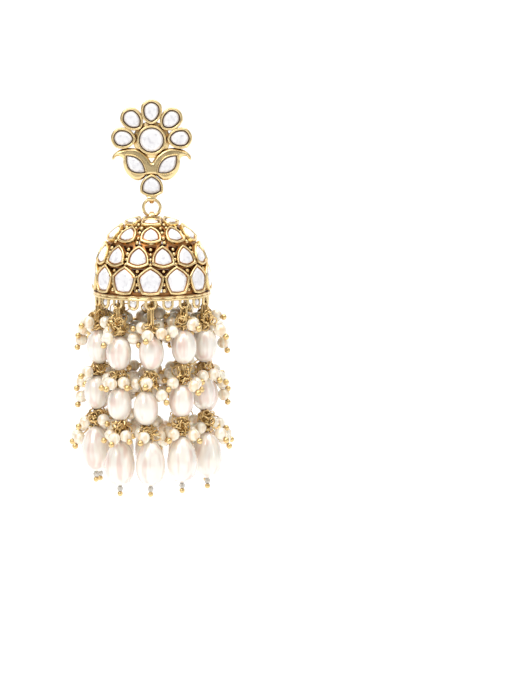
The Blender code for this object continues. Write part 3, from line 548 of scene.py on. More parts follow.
def moulded_pearl(name, body, blush, roughness, fold_mm):
    """Moulded pearl dipped in pearl essence: a cream body with fine upright folds under a glossy coat, its
    colour streaked along the folds as painted lustre.
    """
    material, tree, shader = new_material(name, {
        "Metallic": 0.10, "IOR": 1.60, "Coat Weight": 1.0, "Coat Roughness": 0.07, "Coat IOR": 1.60,
        "Subsurface Weight": 0.20, "Subsurface Scale": 0.8 * MM, "Subsurface Radius": (1.0, 0.75, 0.5),
        "Sheen Weight": 0.10, "Sheen Roughness": 0.3})
    place = add_node(tree, "ShaderNodeTexCoord").outputs["Object"]
    cloud = add_node(tree, "ShaderNodeTexNoise", {
        "Vector": place, "Scale": repeats(PEARL_CLOUD), "Detail": 2.0})
    lustre = add_node(tree, "ShaderNodeMapRange", {
        "Value": cloud.outputs["Fac"], "To Min": roughness - 0.05, "To Max": roughness + 0.07})
    tree.links.new(lustre.outputs["Result"], shader.inputs["Roughness"])
    tall = add_node(tree, "ShaderNodeVectorMath", {0: place, 1: PEARL_FOLD_SQUEEZE}, operation="MULTIPLY")
    folds = add_node(tree, "ShaderNodeTexNoise", {
        "Vector": tall.outputs[0], "Scale": repeats(fold_mm), "Detail": 1.0})
    # The folds' noise also streaks the colour between blush and body: painted lustre along the folds, over
    # the pearl's own cream and pink tone.
    stops = ((0.34, blush), (0.52, body))
    colour = add_node(tree, "ShaderNodeValToRGB", {"Fac": folds.outputs["Fac"]}, stops)
    tree.links.new(colour.outputs["Color"], shader.inputs["Base Color"])
    bump = add_node(tree, "ShaderNodeBump", {
        "Height": folds.outputs["Fac"], "Strength": 0.45, "Distance": PEARL_FOLD_DEPTH * MM})
    tree.links.new(bump.outputs["Normal"], shader.inputs["Coat Normal"])
    tree.links.new(bump.outputs["Normal"], shader.inputs["Normal"])
    return material


def clear_glass(name, tint):
    """Pressed clear glass end bead, fire polished to soft highlights."""
    material, tree, shader = new_material(name, {
        "IOR": 1.5, "Transmission Weight": 0.35, "Roughness": 0.12, "Coat Weight": 0.6})
    place = add_node(tree, "ShaderNodeTexCoord").outputs["Object"]
    seed = add_node(tree, "ShaderNodeTexNoise", {"Vector": place, "Scale": repeats(GLASS_CLOUD)})
    stops = ((0.3, between(tint, (1.0, 1.0, 1.0))), (0.7, tint))
    colour = add_node(tree, "ShaderNodeValToRGB", {"Fac": seed.outputs["Fac"]}, stops)
    tree.links.new(colour.outputs["Color"], shader.inputs["Base Color"])
    return material


# Outlines of the stones and settings

def rounded_outline(width, height, corners, soft, points, grow=0.0):
    """Outline of a stone, first point at the top. Soft 0 is an ellipse and 1 has full corners."""
    sector = FULL_TURN / corners
    outline = []
    for turn in (FULL_TURN * step / points for step in range(points)):
        inside = (turn + 0.5 * sector) % sector - 0.5 * sector
        radius = (math.cos(0.5 * sector) / math.cos(0.5 * sector - abs(inside))) ** soft
        outline.append((radius * math.sin(turn), radius * math.cos(turn)))
    shape = np.array(outline)
    low, high = shape.min(0), shape.max(0)
    middle = 0.5 * (low[1] + high[1])
    reach = 0.5 * (high[1] - low[1])
    shape[:, 0] *= (0.5 * width + grow) / high[0]
    shape[:, 1] = (shape[:, 1] - middle) * (0.5 * height + grow) / reach
    return shape


def leaf_outline(points, grow=0.0):
    """Outline of a leaf stone between its two tips, shallow above and deep below."""
    length = LEAF_LENGTH + LEAF_TIP_GROWTH * grow
    half = points // 2
    outline = []
    for step in range(points):
        along = 0.5 - 0.5 * math.cos(math.pi * (step % half) / half)
        bulge = LEAF_UPPER_BULGE + grow if step < half else -LEAF_LOWER_BULGE - grow
        rise = bulge * math.sin(math.pi * along) ** 0.8
        outline.append((length * (along - 0.5 if step < half else 0.5 - along), rise))
    return np.array(outline)


def cut_outline(shape, facets):
    """The same outline with its round sides cut into straight facets."""
    count = len(shape)
    corners = [round(i * count / facets) for i in range(facets)]
    cut = np.empty_like(shape)
    for i, first in enumerate(corners):
        last = corners[i + 1] if i + 1 < facets else count
        for k in range(first, last):
            share = (k - first) / (last - first)
            cut[k] = (1.0 - share) * shape[first] + share * shape[last % count]
    return cut


def setting_rings(shape_at, wall, low, high, floor):
    """(outline, height) rings of a cup whose rounded ridge turns over to a groove at the stone."""
    crest = RIDGE_CREST * wall
    rings = [(shape_at(wall), low), (shape_at(wall), high - RIDGE_FALL * crest)]
    for turn in (math.pi * k / RIDGE_BENDS for k in range(RIDGE_BENDS + 1)):
        rings.append((shape_at(wall - crest + crest * math.cos(turn)), high - crest + crest * math.sin(turn)))
    rings.append((shape_at(GROOVE_GROWTH), high - GROOVE_FALL * crest))
    rings.append((shape_at(GROOVE_GROWTH), floor))
    return rings


def stone_rings(shape_at, floor, girdle, table, share, facets):
    """(outline, height) rings of a stone with a facetted crown and a flat table."""
    edge = shape_at(-STONE_GAP)
    cut = cut_outline(edge, facets)
    return [(edge, floor), (edge, girdle), (cut * (0.55 + 0.45 * share), girdle + 0.68 * (table - girdle)),
            (cut * share, table)]


# Stud

def on_stud(shape, centre, tilt, depth):
    """An outline placed in the plane of the stud, depth in front of its back."""
    a, b = shape[:, 0], shape[:, 1]
    return np.stack([centre[0] + a * math.cos(tilt) - b * math.sin(tilt), np.full(len(a), -depth),
                     centre[1] + a * math.sin(tilt) + b * math.cos(tilt)], axis=1)


def stud_settings():
    """Name, outline, place, tilt, ridge width and height of each setting on the stud."""
    def centre(grow):
        return rounded_outline(CENTRE_STONE, CENTRE_STONE, 12, 0.0, OUTLINE_POINTS, grow)

    def petal(grow):
        return -rounded_outline(PETAL_WIDTH, PETAL_LENGTH, 3, PETAL_SOFTNESS, OUTLINE_POINTS, grow)

    def right_leaf(grow):
        return leaf_outline(OUTLINE_POINTS, grow)

    def left_leaf(grow):
        return leaf_outline(OUTLINE_POINTS, grow)[::-1] * (-1.0, 1.0)

    def drop(grow):
        return rounded_outline(DROP_WIDTH, DROP_HEIGHT, 3, DROP_SOFTNESS, OUTLINE_POINTS, grow)

    found = [("centre", centre, (0.0, 0.0), 0.0, CUP_WALL, CENTRE_CUP_HEIGHT)]
    orbit = 0.5 * CENTRE_STONE + 2.0 * CUP_WALL + PETAL_SPACE + 0.5 * PETAL_LENGTH
    for index in range(PETAL_COUNT):
        angle = PETAL_FIRST + (PETAL_LAST - PETAL_FIRST) * index / (PETAL_COUNT - 1)
        place = (orbit * math.cos(angle), orbit * math.sin(angle))
        found.append((f"petal_{index + 1}", petal, place, angle - math.pi / 2, PETAL_RIDGE, CUP_HEIGHT))
    leaf_x = LEAF_TIP_X + 0.5 * LEAF_LENGTH * math.cos(LEAF_TILT)
    leaf_z = LEAF_TIP_Z + 0.5 * LEAF_LENGTH * math.sin(LEAF_TILT)
    found.append(("leaf_right", right_leaf, (leaf_x, leaf_z), LEAF_TILT, LEAF_RIDGE, LEAF_CUP_HEIGHT))
    found.append(("leaf_left", left_leaf, (-leaf_x, leaf_z), -LEAF_TILT, LEAF_RIDGE, LEAF_CUP_HEIGHT))
    found.append(("drop", drop, (0.0, DROP_CENTRE_Z), 0.0, DROP_RIDGE, CUP_HEIGHT))
    return found


def smooth_curve(points, steps):
    """Rounded closed curve through the points of an outline."""
    curve = []
    count = len(points)
    for i in range(count):
        p0, p1, p2, p3 = (np.array(points[(i + k) % count]) for k in (-1, 0, 1, 2))
        for t in (step / steps for step in range(steps)):
            curve.append(0.5 * (2 * p1 + (p2 - p0) * t + (2 * p0 - 5 * p1 + 4 * p2 - p3) * t * t
                                + (3 * p1 - p0 - 3 * p2 + p3) * t ** 3))
    return np.array(curve)


def edge_distance(places, outline):
    """Distance of each place from a closed outline."""
    starts, spans = outline, np.roll(outline, -1, 0) - outline
    lengths = (spans ** 2).sum(1)
    offsets = places[:, None, :] - starts[None]
    shares = np.clip((offsets * spans[None]).sum(2) / lengths[None], 0.0, 1.0)
    return np.sqrt(((offsets - shares[:, :, None] * spans[None]) ** 2).sum(2)).min(1)


def pillowed_plate(outline, holes, back, front, roll, pitch):
    """Plate with holes whose front rolls over to its outer edge; pitch is the step of its mesh."""
    low, high = outline.min(0), outline.max(0)
    grid = [(x, z) for x in np.arange(low[0], high[0], pitch) for z in np.arange(low[1], high[1], pitch)]
    spots = []
    loops = []
    for loop in [outline] + holes:
        area = sum(a[0] * b[1] - b[0] * a[1] for a, b in zip(loop, np.roll(loop, -1, 0)))
        face = list(range(len(spots), len(spots) + len(loop)))
        loops.append(face if area > 0.0 else face[::-1])
        spots.extend(Vector(place) for place in loop)
    found = delaunay_2d_cdt(spots + [Vector(place) for place in grid], [], loops, 0, 1e-7)
    flat = np.array([tuple(place) for place in found[0]])
    kept = [tuple(face) for face, owner in zip(found[2], found[5]) if list(owner) == [0]]
    rolled = np.clip(edge_distance(flat, outline) / roll, 0.0, 1.0)
    depth = front - roll * (1.0 - np.sqrt(np.clip(1.0 - (1.0 - rolled) ** 2, 0.0, 1.0)))
    count = len(flat)
    points = np.concatenate([np.stack([flat[:, 0], -depth, flat[:, 1]], 1),
                             np.stack([flat[:, 0], np.full(count, -back), flat[:, 1]], 1)])
    edges = {(a, b) for face in kept for a, b in zip(face, face[1:] + face[:1])}
    faces = kept + [tuple(count + i for i in reversed(face)) for face in kept]
    faces.extend([(a, b, count + b, count + a) for a, b in sorted(edges) if (b, a) not in edges])
    return points, faces


def strap(centre_z, wide_up, hole, thickness):
    """Strap bent round a hole along X, wide on one side of the hole and narrow on the other."""
    rings = []
    outer = hole + thickness
    for turn in (FULL_TURN * i / BAIL_STEPS for i in range(BAIL_STEPS)):
        share = 0.5 + 0.5 * math.cos(turn) * (1.0 if wide_up else -1.0)
        half = 0.5 * (BAIL_NARROW + (BAIL_WIDE - BAIL_NARROW) * share)
        edge = [(hole, half - BAIL_INNER_EDGE), (hole + BAIL_INNER_EDGE, half),
                (outer - BAIL_OUTER_EDGE, half), (outer, half - BAIL_OUTER_SIDE)]
        section = edge + [(radius, -x) for radius, x in reversed(edge)]
        rings.append([(x, HANG_Y + radius * math.sin(turn), centre_z + radius * math.cos(turn))
                      for radius, x in section])
    return loft(rings, closed=True)


# Dome

CURVE_TURNS = np.linspace(math.pi / 2, 0.0, CURVE_STEPS)
CURVE_RADII = DOME_RADIUS * np.cos(CURVE_TURNS).clip(0.0) ** (2.0 / DOME_SQUARENESS)
CURVE_HEIGHTS = DOME_HEIGHT * np.sin(CURVE_TURNS).clip(0.0) ** (2.0 / DOME_SQUARENESS)


def outward(turn):
    """Level directions away from the hanging axis and sideways, at a turn from the front."""
    return np.array((math.sin(turn), -math.cos(turn), 0.0)), np.array((math.cos(turn), math.sin(turn), 0.0))


def on_dome(turn, share, lift=0.0):
    """Place on the dome at a share of its height, with its outward and sideways directions."""
    count = len(CURVE_HEIGHTS)
    index = int(np.searchsorted(CURVE_HEIGHTS[::-1], share * DOME_HEIGHT))
    index = min(max(count - 1 - index, CURVE_REACH), count - 1 - CURVE_REACH)
    run = CURVE_RADII[index + CURVE_REACH] - CURVE_RADII[index - CURVE_REACH]
    fall = CURVE_HEIGHTS[index + CURVE_REACH] - CURVE_HEIGHTS[index - CURVE_REACH]
    length = math.hypot(run, fall)
    around, side = outward(turn)
    out = -fall / length * around + run / length * UP
    place = np.array((0.0, HANG_Y, RIM_Z + CURVE_HEIGHTS[index])) + CURVE_RADII[index] * around
    return place + lift * out, out, side


def dome_stones():
    """Place, directions and outline of every stone on the dome."""
    found = []
    for count, offset, share, wide, tall, corners, soft in STONE_ROWS:
        shape_at = functools.partial(
            rounded_outline, wide * DOME_RADIUS, tall * DOME_HEIGHT, corners, soft, STONE_POINTS[corners])
        for index in range(count):
            place, out, side = on_dome(FULL_TURN * (index + offset) / count, share)
            up = np.cross(out, side)
            up = up if up[2] > 0.0 else -up
            found.append((place, out, side, up, shape_at))
    return found


def raised(shape, stone, lift):
    """An outline placed over a dome stone's seat."""
    place, out, side, up = stone[:4]
    return place + shape[:, :1] * side + shape[:, 1:] * up + lift * out


def dome_granules():
    """Solder granules that fill the corners between the settings of each row."""
    beads = []
    for count, offset, share, _, tall, _, _ in STONE_ROWS:
        for index in range(count):
            turn = FULL_TURN * (index + 0.5 + offset) / count
            for rise in GRANULE_RISES:
                level = share + rise * tall
                if GRANULE_LOWEST < level < GRANULE_HIGHEST:
                    place = on_dome(turn, level, GRANULE_LIFT)[0]
                    beads.append(ball(place, GRANULE_RADIUS * random.uniform(0.8, 1.15), 10, 6))
    return merged(beads)


def rim_loop(turn):
    """U-shaped loop soldered under the rim band."""
    out, side = outward(turn)
    half = 0.5 * LOOP_WIDTH - LOOP_METAL
    centre = np.array((0.0, HANG_Y, RIM_Z - LOOP_DROP + LOOP_METAL + half)) + LOOP_CIRCLE * out
    path = [centre - half * side + UP * LOOP_LEG]
    path += [centre - half * math.cos(bend) * side - half * math.sin(bend) * UP
             for bend in (math.pi * k / LOOP_BENDS for k in range(LOOP_BENDS + 1))]
    path.append(centre + half * side + UP * LOOP_LEG)
    return wire(path, LOOP_POLISHED, 10, out)


# Strands

def tier_boxes(index):
    """Lowest and highest corners of a strand's three pearls, from the top one down."""
    return [box_mm(f"{tier}_pearl_{index + 1:02d}") for tier in ("upper", "middle", "drop")]


def strand_plan(index):
    """Outward direction of a strand, its hook, its foot and the bundle of loops above each pearl."""
    out, side = outward(FULL_TURN * index / STRANDS)
    hook = np.array((0.0, HANG_Y, RIM_Z - LOOP_DROP + LOOP_METAL)) + LOOP_CIRCLE * out
    bundles = []
    above = hook - (OTHER_BUNDLE_DROP if index else FIRST_BUNDLE_DROP) * UP
    for low, high in tier_boxes(index):
        middle = 0.5 * (low + high)
        top = np.array((middle[0], middle[1], high[2]))
        bundles.append((above, top))
        above = np.array((middle[0], middle[1], low[2]))
    return out, side, hook, bundles, above


def oval_link(hook, across):
    """Connector link made of two wires side by side, hanging in a rim loop."""
    parts = []
    normal = np.cross(across, UP)
    for shift in LINK_WIRE_SHIFTS:
        centre = hook + (LINK_RISE - 0.5 * LINK_LENGTH) * UP + shift * normal
        path = []
        for t in (FULL_TURN * k / LINK_POINTS for k in range(LINK_POINTS)):
            straight = (0.5 * LINK_LENGTH - LINK_HALF_WIDTH) * (1.0 if math.sin(t) >= 0.0 else -1.0)
            rise = LINK_HALF_WIDTH * math.sin(t) + straight
            path.append(centre + LINK_HALF_WIDTH * math.cos(t) * across + rise * UP)
        parts.append(wire(path, LINK_WIRE, 7, normal, closed=True))
    return merged(parts)


def random_direction(draw):
    """Direction drawn evenly over all ways."""
    z = draw.uniform(-1.0, 1.0)
    turn = draw.uniform(0.0, FULL_TURN)
    flat = math.sqrt(1.0 - z * z)
    return np.array((flat * math.cos(turn), flat * math.sin(turn), z))


def across_to(direction):
    """Two directions at right angles to a direction and to each other."""
    helper = UP if abs(direction[2]) < 0.8 else np.array((1.0, 0.0, 0.0))
    first = np.cross(direction, helper)
    first /= np.linalg.norm(first)
    return first, np.cross(direction, first)


def wire_bundle(above, top, loops, wire_radius, draw):
    """Tangle of bent wire loops round the pin between two pearls, with a coil above the lower one."""
    parts = []
    room = min(1.0, (above[2] - top[2]) / ROOMY_BUNDLE)
    for number in range(loops):
        share = (number + draw.uniform(0.2, 0.8)) / loops
        centre = above + (top - above) * (BUNDLE_TOP + BUNDLE_SPAN * share)
        swell = 0.45 + 0.55 * math.sin(math.pi * (0.12 + 0.76 * share))
        spread = draw.uniform(*BUNDLE_SPREAD) * swell
        turn = draw.uniform(0.0, FULL_TURN)
        centre = centre + spread * np.array((math.cos(turn), math.sin(turn), 0.0))
        normal = random_direction(draw)
        first, second = across_to(normal)
        size = draw.uniform(*LOOP_SIZE) * room
        path = circle_path(centre, first, second, size, LOOP_POINTS, draw.uniform(*LOOP_STRETCH))
        parts.append(wire(path, wire_radius, WIRE_SIDES, normal, closed=True))
    coil = []
    for turn in (FULL_TURN * k / COIL_STEP for k in range(COIL_POINTS)):
        rise = COIL_START + COIL_PITCH * turn / FULL_TURN
        coil.append(top + np.array((COIL_RADIUS * math.cos(turn), COIL_RADIUS * math.sin(turn), rise)))
    parts.append(wire(coil, wire_radius, WIRE_SIDES, UP))
    return merged(parts)


def straight_wire(start, end, radius):
    """Straight piece of wire between two points."""
    ahead = end - start
    flat = across_to(ahead / np.linalg.norm(ahead))[0]
    return wire([start, 0.5 * (start + end), end], radius, WIRE_SIDES, flat)


def place_seeds(plans, per_bundle, diameter, draw):
    """Seed pearls round every bundle, moved apart until none runs into a neighbour or a pearl."""
    seeds = []
    roots = []
    owners = []
    reaches = []
    for index, (out, _, _, bundles, _) in enumerate(plans):
        heading = math.atan2(out[1], out[0])
        behind = out[1] > 0.0
        count = per_bundle + (SEEDS_MORE_BEHIND if behind else 0)
        for tier, (above, top) in enumerate(bundles):
            middle = above + (top - above) * SEED_ROOT
            for number in range(count):
                turn = heading + FULL_TURN * (number + draw.uniform(-SEED_SWAY, SEED_SWAY)) / count
                reach = draw.uniform(*SEED_REACH)
                fall = draw.uniform(*SEED_FALL) + (LOWER_TIER_FALL if tier else 0.0)
                if behind and number % 2:
                    turn = math.pi * (number // 2) + draw.uniform(-LONG_SWAY, LONG_SWAY)
                    reach = draw.uniform(*LONG_REACH)
                    fall = draw.uniform(*LONG_FALL)
                seeds.append(middle + np.array((reach * math.cos(turn), reach * math.sin(turn), -fall)))
                roots.append(middle)
                reaches.append(max(TETHER, math.hypot(reach, fall)))
                owners.append(index)
    seeds = np.array(seeds)
    roots = np.array(roots)
    centres = []
    halves = []
    radii = []
    for index in range(STRANDS):
        for low, high in tier_boxes(index):
            radius = 0.5 * (high[0] - low[0])
            centres.append(0.5 * (low + high))
            halves.append(0.5 * (high[2] - low[2]) - radius)
            radii.append(radius)
    halves = np.array(halves)
    clear = np.array(radii) + 0.5 * diameter + SEED_CLEARANCE
    for _ in range(PUSH_ROUNDS):
        gap = seeds[:, None] - seeds[None]
        apart = np.linalg.norm(gap, axis=2) + np.eye(len(seeds)) * 99.0
        push = np.clip(SEED_SPACING * diameter - apart, 0.0, None)
        seeds += 0.35 * (gap / apart[:, :, None] * push[:, :, None]).sum(1)
        gap = seeds[:, None] - np.array(centres)[None]
        gap[:, :, 2] -= np.clip(gap[:, :, 2], -halves, halves)
        apart = np.linalg.norm(gap, axis=2)
        push = np.clip(clear - apart, 0.0, None)
        seeds += 0.6 * (gap / apart[:, :, None] * push[:, :, None]).sum(1)
        pull = roots - seeds
        away = np.linalg.norm(pull, axis=1)
        seeds += pull / away[:, None] * np.clip(away - reaches, 0.0, None)[:, None] * 0.5
    return seeds, roots, owners


def pearl_mesh(low, high, egg, draw):
    """Drilled pearl that fills a box: an oval, or an egg with its wide end down."""
    centre = 0.5 * (low + high)
    radius = 0.5 * max(high[0] - low[0], high[1] - low[1]) * PEARL_FULLNESS
    half = 0.5 * (high[2] - low[2])
    squash = draw.uniform(0.97, 1.0)
    lean = draw.uniform(0.0, FULL_TURN)
    start = math.asin(PEARL_BORE / radius)
    around = [FULL_TURN * i / PEARL_SIDES for i in range(PEARL_SIDES)]
    rings = []
    for turn in (start + (math.pi - 2.0 * start) * k / PEARL_BANDS for k in range(PEARL_BANDS + 1)):
        swell = (1.0 - egg * math.cos(turn)) / (1.0 + 0.25 * egg * egg)
        wide = radius * math.sin(turn) ** PEARL_SHOULDER * swell
        ring = []
        for a in around:
            reach = wide * (1.0 - (1.0 - squash) * math.cos(a - lean) ** 2)
            ring.append(centre + np.array((reach * math.cos(a), reach * math.sin(a), half * math.cos(turn))))
        rings.append(ring)
    for shift in (-0.8, 0.8):
        rings.append(level_circle(centre + shift * half * UP, 0.8 * PEARL_BORE, PEARL_SIDES))
    return loft(rings, closed=True)


# Sizes and colours that a user would change

class EarringFinishes(bpy.types.PropertyGroup):
    """Colours and polish of the metal, stones and pearls."""

    plating: bpy.props.FloatVectorProperty(
        name="Plating", description="Champagne gold plating where it is polished",
        subtype="COLOR", min=0.0, max=1.0, default=linear("#F3D9A2"))
    # Recess colour of the plating: copper brown oxide together with painted shade in the recesses.
    oxide_and_shade: bpy.props.FloatVectorProperty(
        name="Oxide", description="Copper brown left in the recesses of the plating",
        subtype="COLOR", min=0.0, max=1.0, default=linear("#6E3A1E"))
    polish: bpy.props.FloatProperty(
        name="Roughness", description="Roughness of the polished plating",
        subtype="FACTOR", min=0.05, max=0.8, default=0.24)
    stone_glint: bpy.props.FloatVectorProperty(
        name="Stone face", description="Foil-backed stone where it catches light",
        subtype="COLOR", min=0.0, max=1.0, default=linear("#FAF9FB"))
    stone_foil_shade: bpy.props.FloatVectorProperty(
        name="Stone shade", description="Foil-backed stone where its foil turns away",
        subtype="COLOR", min=0.0, max=1.0, default=linear("#D8D6DC"))
    pearl_body: bpy.props.FloatVectorProperty(
        name="Pearl", description="Cream body of the pearls",
        subtype="COLOR", min=0.0, max=1.0, default=linear("#FFF7EC"))
    pearl_blush_and_lustre: bpy.props.FloatVectorProperty(
        name="Pearl blush", description="Pink overtone of the pearls",
        subtype="COLOR", min=0.0, max=1.0, default=linear("#F1D9CD"))


class EarringStones(bpy.types.PropertyGroup):
    """Cut of the stones."""

    facets: bpy.props.IntProperty(
        name="Facets", description="Crown facets round a stone's table", min=8, max=24, default=12)
    table: bpy.props.FloatProperty(
        name="Table", description="Width of the table as a share of the stone",
        subtype="FACTOR", min=0.3, max=0.9, default=0.66)


class EarringStrands(bpy.types.PropertyGroup):
    """Wire work and seed pearls of the strands."""

    loops: bpy.props.IntProperty(
        name="Loops", description="Wire loops in each bundle", min=3, max=40, default=28)
    wire_radius: bpy.props.FloatProperty(
        name="Wire", description="Radius of the loops' wire",
        subtype="DISTANCE", unit="LENGTH", precision=5, default=0.15 * MM)
    seed: bpy.props.FloatProperty(
        name="Seed pearl", description="Diameter of a seed pearl",
        subtype="DISTANCE", unit="LENGTH", precision=5, default=2.70 * MM)
    seeds: bpy.props.IntProperty(
        name="Seed pearls", description="Seed pearls round each bundle in front", min=2, max=9, default=4)
    ball: bpy.props.FloatProperty(
        name="Ball end", description="Diameter of the ball at a head pin's end",
        subtype="DISTANCE", unit="LENGTH", precision=5, default=1.34 * MM)


class EarringStage(bpy.types.PropertyGroup):
    """Camera, backdrop and lights."""

    elevation: bpy.props.FloatProperty(
        name="Elevation", description="Camera's angle above level",
        subtype="ANGLE", unit="ROTATION", default=math.radians(7.0))
    distance: bpy.props.FloatProperty(
        name="Distance", description="Camera's distance from the earring",
        subtype="DISTANCE", unit="LENGTH", default=0.90)
    view_height: bpy.props.FloatProperty(
        name="View height", description="Height that the picture covers at the earring",
        subtype="DISTANCE", unit="LENGTH", precision=5, default=152.9 * MM)
    aim_across: bpy.props.FloatProperty(
        name="Aim across", description="Where the camera aims, to the right of the ear post",
        subtype="DISTANCE", unit="LENGTH", precision=5, default=23.8 * MM)
    aim_height: bpy.props.FloatProperty(
        name="Aim height", description="Where the camera aims, above the ear post",
        subtype="DISTANCE", unit="LENGTH", precision=5, default=-45.8 * MM)
    paper: bpy.props.FloatVectorProperty(
        name="Paper", description="Seamless background paper",
        subtype="COLOR", min=0.0, max=1.0, default=linear("#FBFBFB"))


METAL = "champagne plated brass"
SHELL_METAL = "oxidised plated brass"
WIRE_METAL = "champagne plated wire"
STONE = "foil-backed glass stone"
PEARL = "moulded cream pearl"
SEED = "moulded cream seed pearl"
CLEAR = "clear glass end bead"


class EARRING_OT_make_finishes(bpy.types.Operator):
    """Make the materials of the earring."""

    bl_idname = "earring.make_finishes"
    bl_label = "Make Finishes"

    def execute(self, context):
        look = context.scene.earring_finishes
        plating, oxide_and_shade = tuple(look.plating), tuple(look.oxide_and_shade)
        plated_brass(METAL, plating, oxide_and_shade, look.polish, 0.9)
        plated_brass(WIRE_METAL, between(plating, linear("#E6C07C")), oxide_and_shade, look.polish + 0.02, 0.5)
        # Dome shell: a darker brown than the plating, darkened further in its recesses by ambient occlusion,
        # partly oxide and partly painted shade, and with painted shade over its inside.
        plated_brass(SHELL_METAL, linear("#B98350"), linear("#451D0F"), look.polish + 0.10, 1.4, shade_inside=True)
        foil_backed_glass(STONE, tuple(look.stone_glint), tuple(look.stone_foil_shade))
        moulded_pearl(PEARL, tuple(look.pearl_body), tuple(look.pearl_blush_and_lustre), 0.20, PEARL_FOLD)
        # Seed pearls warmed towards gold: partly their own ivory tone, partly painted reflected light from
        # the gold around them.
        moulded_pearl(SEED, linear("#FFF5E2"), linear("#F3D8B2"), 0.20, SEED_FOLD)
        clear_glass(CLEAR, linear("#DCD5C6"))
        return {"FINISHED"}


class EARRING_OT_add_stud(bpy.types.Operator):
    """Add the flower, leaf frame, drop setting and bail, with a cut stone in each setting."""

    bl_idname = "earring.add_stud"
    bl_label = "Add Stud"

    def execute(self, context):
        cut = context.scene.earring_stones
        metal = bpy.data.materials[METAL]
        parts = []
        holes = []
        for name, shape_at, centre, tilt, ridge, height in stud_settings():
            rings = setting_rings(shape_at, ridge, CUP_BACK, height, CUP_FLOOR)
            parts.append(loft([on_stud(shape, centre, tilt, depth) for shape, depth in rings]))
            rings = stone_rings(shape_at, CUP_FLOOR + STONE_SEAT, height - GIRDLE_DEPTH, height + TABLE_RISE,
                                cut.table, cut.facets)
            stone = loft([on_stud(shape, centre, tilt, depth) for shape, depth in rings])
            add_piece(f"cut_{name}_stone", stone, bpy.data.materials[STONE], "stud",
                      [f"{name}_stone"], FACET_EDGE)
            if name.startswith("leaf"):
                holes.append(on_stud(shape_at(LEAF_HOLE_GROWTH), centre, tilt, 0.0)[:, (0, 2)])
        half = [(0.5 * LEAF_FRAME_WIDTH * across, LEAF_FRAME_TOP - LEAF_FRAME_HEIGHT * down)
                for across, down in LEAF_FRAME_OUTLINE]
        outline = smooth_curve(half + [(-x, z) for x, z in reversed(half[1:-1])], LEAF_CURVE_STEPS)
        parts.append(pillowed_plate(
            outline, holes, LEAF_PLATE_BACK, LEAF_PLATE_FRONT, LEAF_PLATE_ROLL, LEAF_PLATE_PITCH))
        parts.append(turned_across(BACK_PLATE_PROFILE, BACK_PLATE_SIDES))
        parts.append(strap(RING_CENTRE_Z + RING_RADIUS, True, STUD_BAIL_HOLE, STUD_BAIL_METAL))
        add_piece("flower_and_leaf_frame", merged(parts), metal, "stud", ["stud_frame"], METAL_EDGE)
        return {"FINISHED"}


class EARRING_OT_add_ring_and_post(bpy.types.Operator):
    """Add the swing ring and the ear post."""

    bl_idname = "earring.add_ring_and_post"
    bl_label = "Add Ring and Post"

    def execute(self, context):
        metal = bpy.data.materials[METAL]
        centre = np.array((0.0, HANG_Y, RING_CENTRE_Z))
        path = circle_path(centre, (1, 0, 0), (0, 0, 1), RING_RADIUS, RING_STEPS)
        ring = wire(path, RING_GROWTH * RING_WIRE, RING_SIDES, (0, 1, 0), closed=True)
        add_piece("round_swing_ring", ring, metal, "ring", ["swing_ring"])
        pad = float(POST_HIGH[0])
        back = float(POST_LOW[1])
        tip = float(POST_HIGH[1])
        profile = [(POST_AXIS, back)]
        profile += [(pad - inset, back + rise) for inset, rise in PAD_PROFILE]
        profile += [(radius, back + rise) for radius, rise in SHANK_PROFILE]
        profile += [(radius, tip - depth) for radius, depth in TIP_PROFILE]
        add_piece("turned_ear_post", turned_across(profile, POST_SIDES), metal, "stud", ["ear_post"])
        return {"FINISHED"}


class EARRING_OT_dress_dome(bpy.types.Operator):
    """Add the dome's rounded settings, cut stones, granules, rim band and loops."""

    bl_idname = "earring.dress_dome"
    bl_label = "Dress Dome"

    def execute(self, context):
        cut = context.scene.earring_stones
        metal = bpy.data.materials[METAL]
        glass = bpy.data.materials[STONE]
        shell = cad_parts["dome"]
        shell.data.materials.clear()
        shell.data.materials.append(bpy.data.materials[SHELL_METAL])
        settings = []
        crowns = []
        for stone in dome_stones():
            rings = setting_rings(stone[4], DOME_RIDGE, DOME_CUP_LOW, DOME_CUP_HIGH, DOME_CUP_FLOOR)
            settings.append(loft([raised(shape, stone, lift) for shape, lift in rings]))
            rings = stone_rings(stone[4], DOME_SEAT, DOME_GIRDLE, DOME_TABLE, cut.table, cut.facets)
            crowns.append(loft([raised(shape, stone, lift) for shape, lift in rings]))
        add_piece("dome_settings", merged(settings), metal, "hanging_dome", sharp=METAL_EDGE)
        add_piece("dome_stones", merged(crowns), glass, "hanging_dome", sharp=FACET_EDGE)
        add_piece("dome_granules", dome_granules(), metal, "hanging_dome")
        rim = loft([level_circle((0.0, HANG_Y, RIM_Z + height), DOME_RADIUS + proud, RIM_STEPS)
                    for proud, height in RIM_BAND_PROFILE], closed=True)
        bail = strap(RING_CENTRE_Z - RING_RADIUS, False, DOME_BAIL_HOLE, DOME_BAIL_METAL)
        loops = [rim_loop(FULL_TURN * i / RIM_LOOPS) for i in range(RIM_LOOPS)]
        add_piece("rim_band_and_loops", merged([rim, bail] + loops), metal, "hanging_dome",
                  sharp=METAL_EDGE)
        small = []
        for index in range(1, RIM_LOOPS, 2):
            out, side = outward(FULL_TURN * index / RIM_LOOPS)
            centre = np.array((0.0, HANG_Y, RIM_Z - LOOP_DROP + LOOP_STONE_RISE)) + LOOP_CIRCLE * out
            small.append(loft([circle_path(centre + lift * out, side, UP, radius, LOOP_STONE_SIDES)
                               for radius, lift in LOOP_STONE_PROFILE]))
        add_piece("rim_stones", merged(small), glass, "hanging_dome", sharp=SMALL_STONE_EDGE)
        return {"FINISHED"}


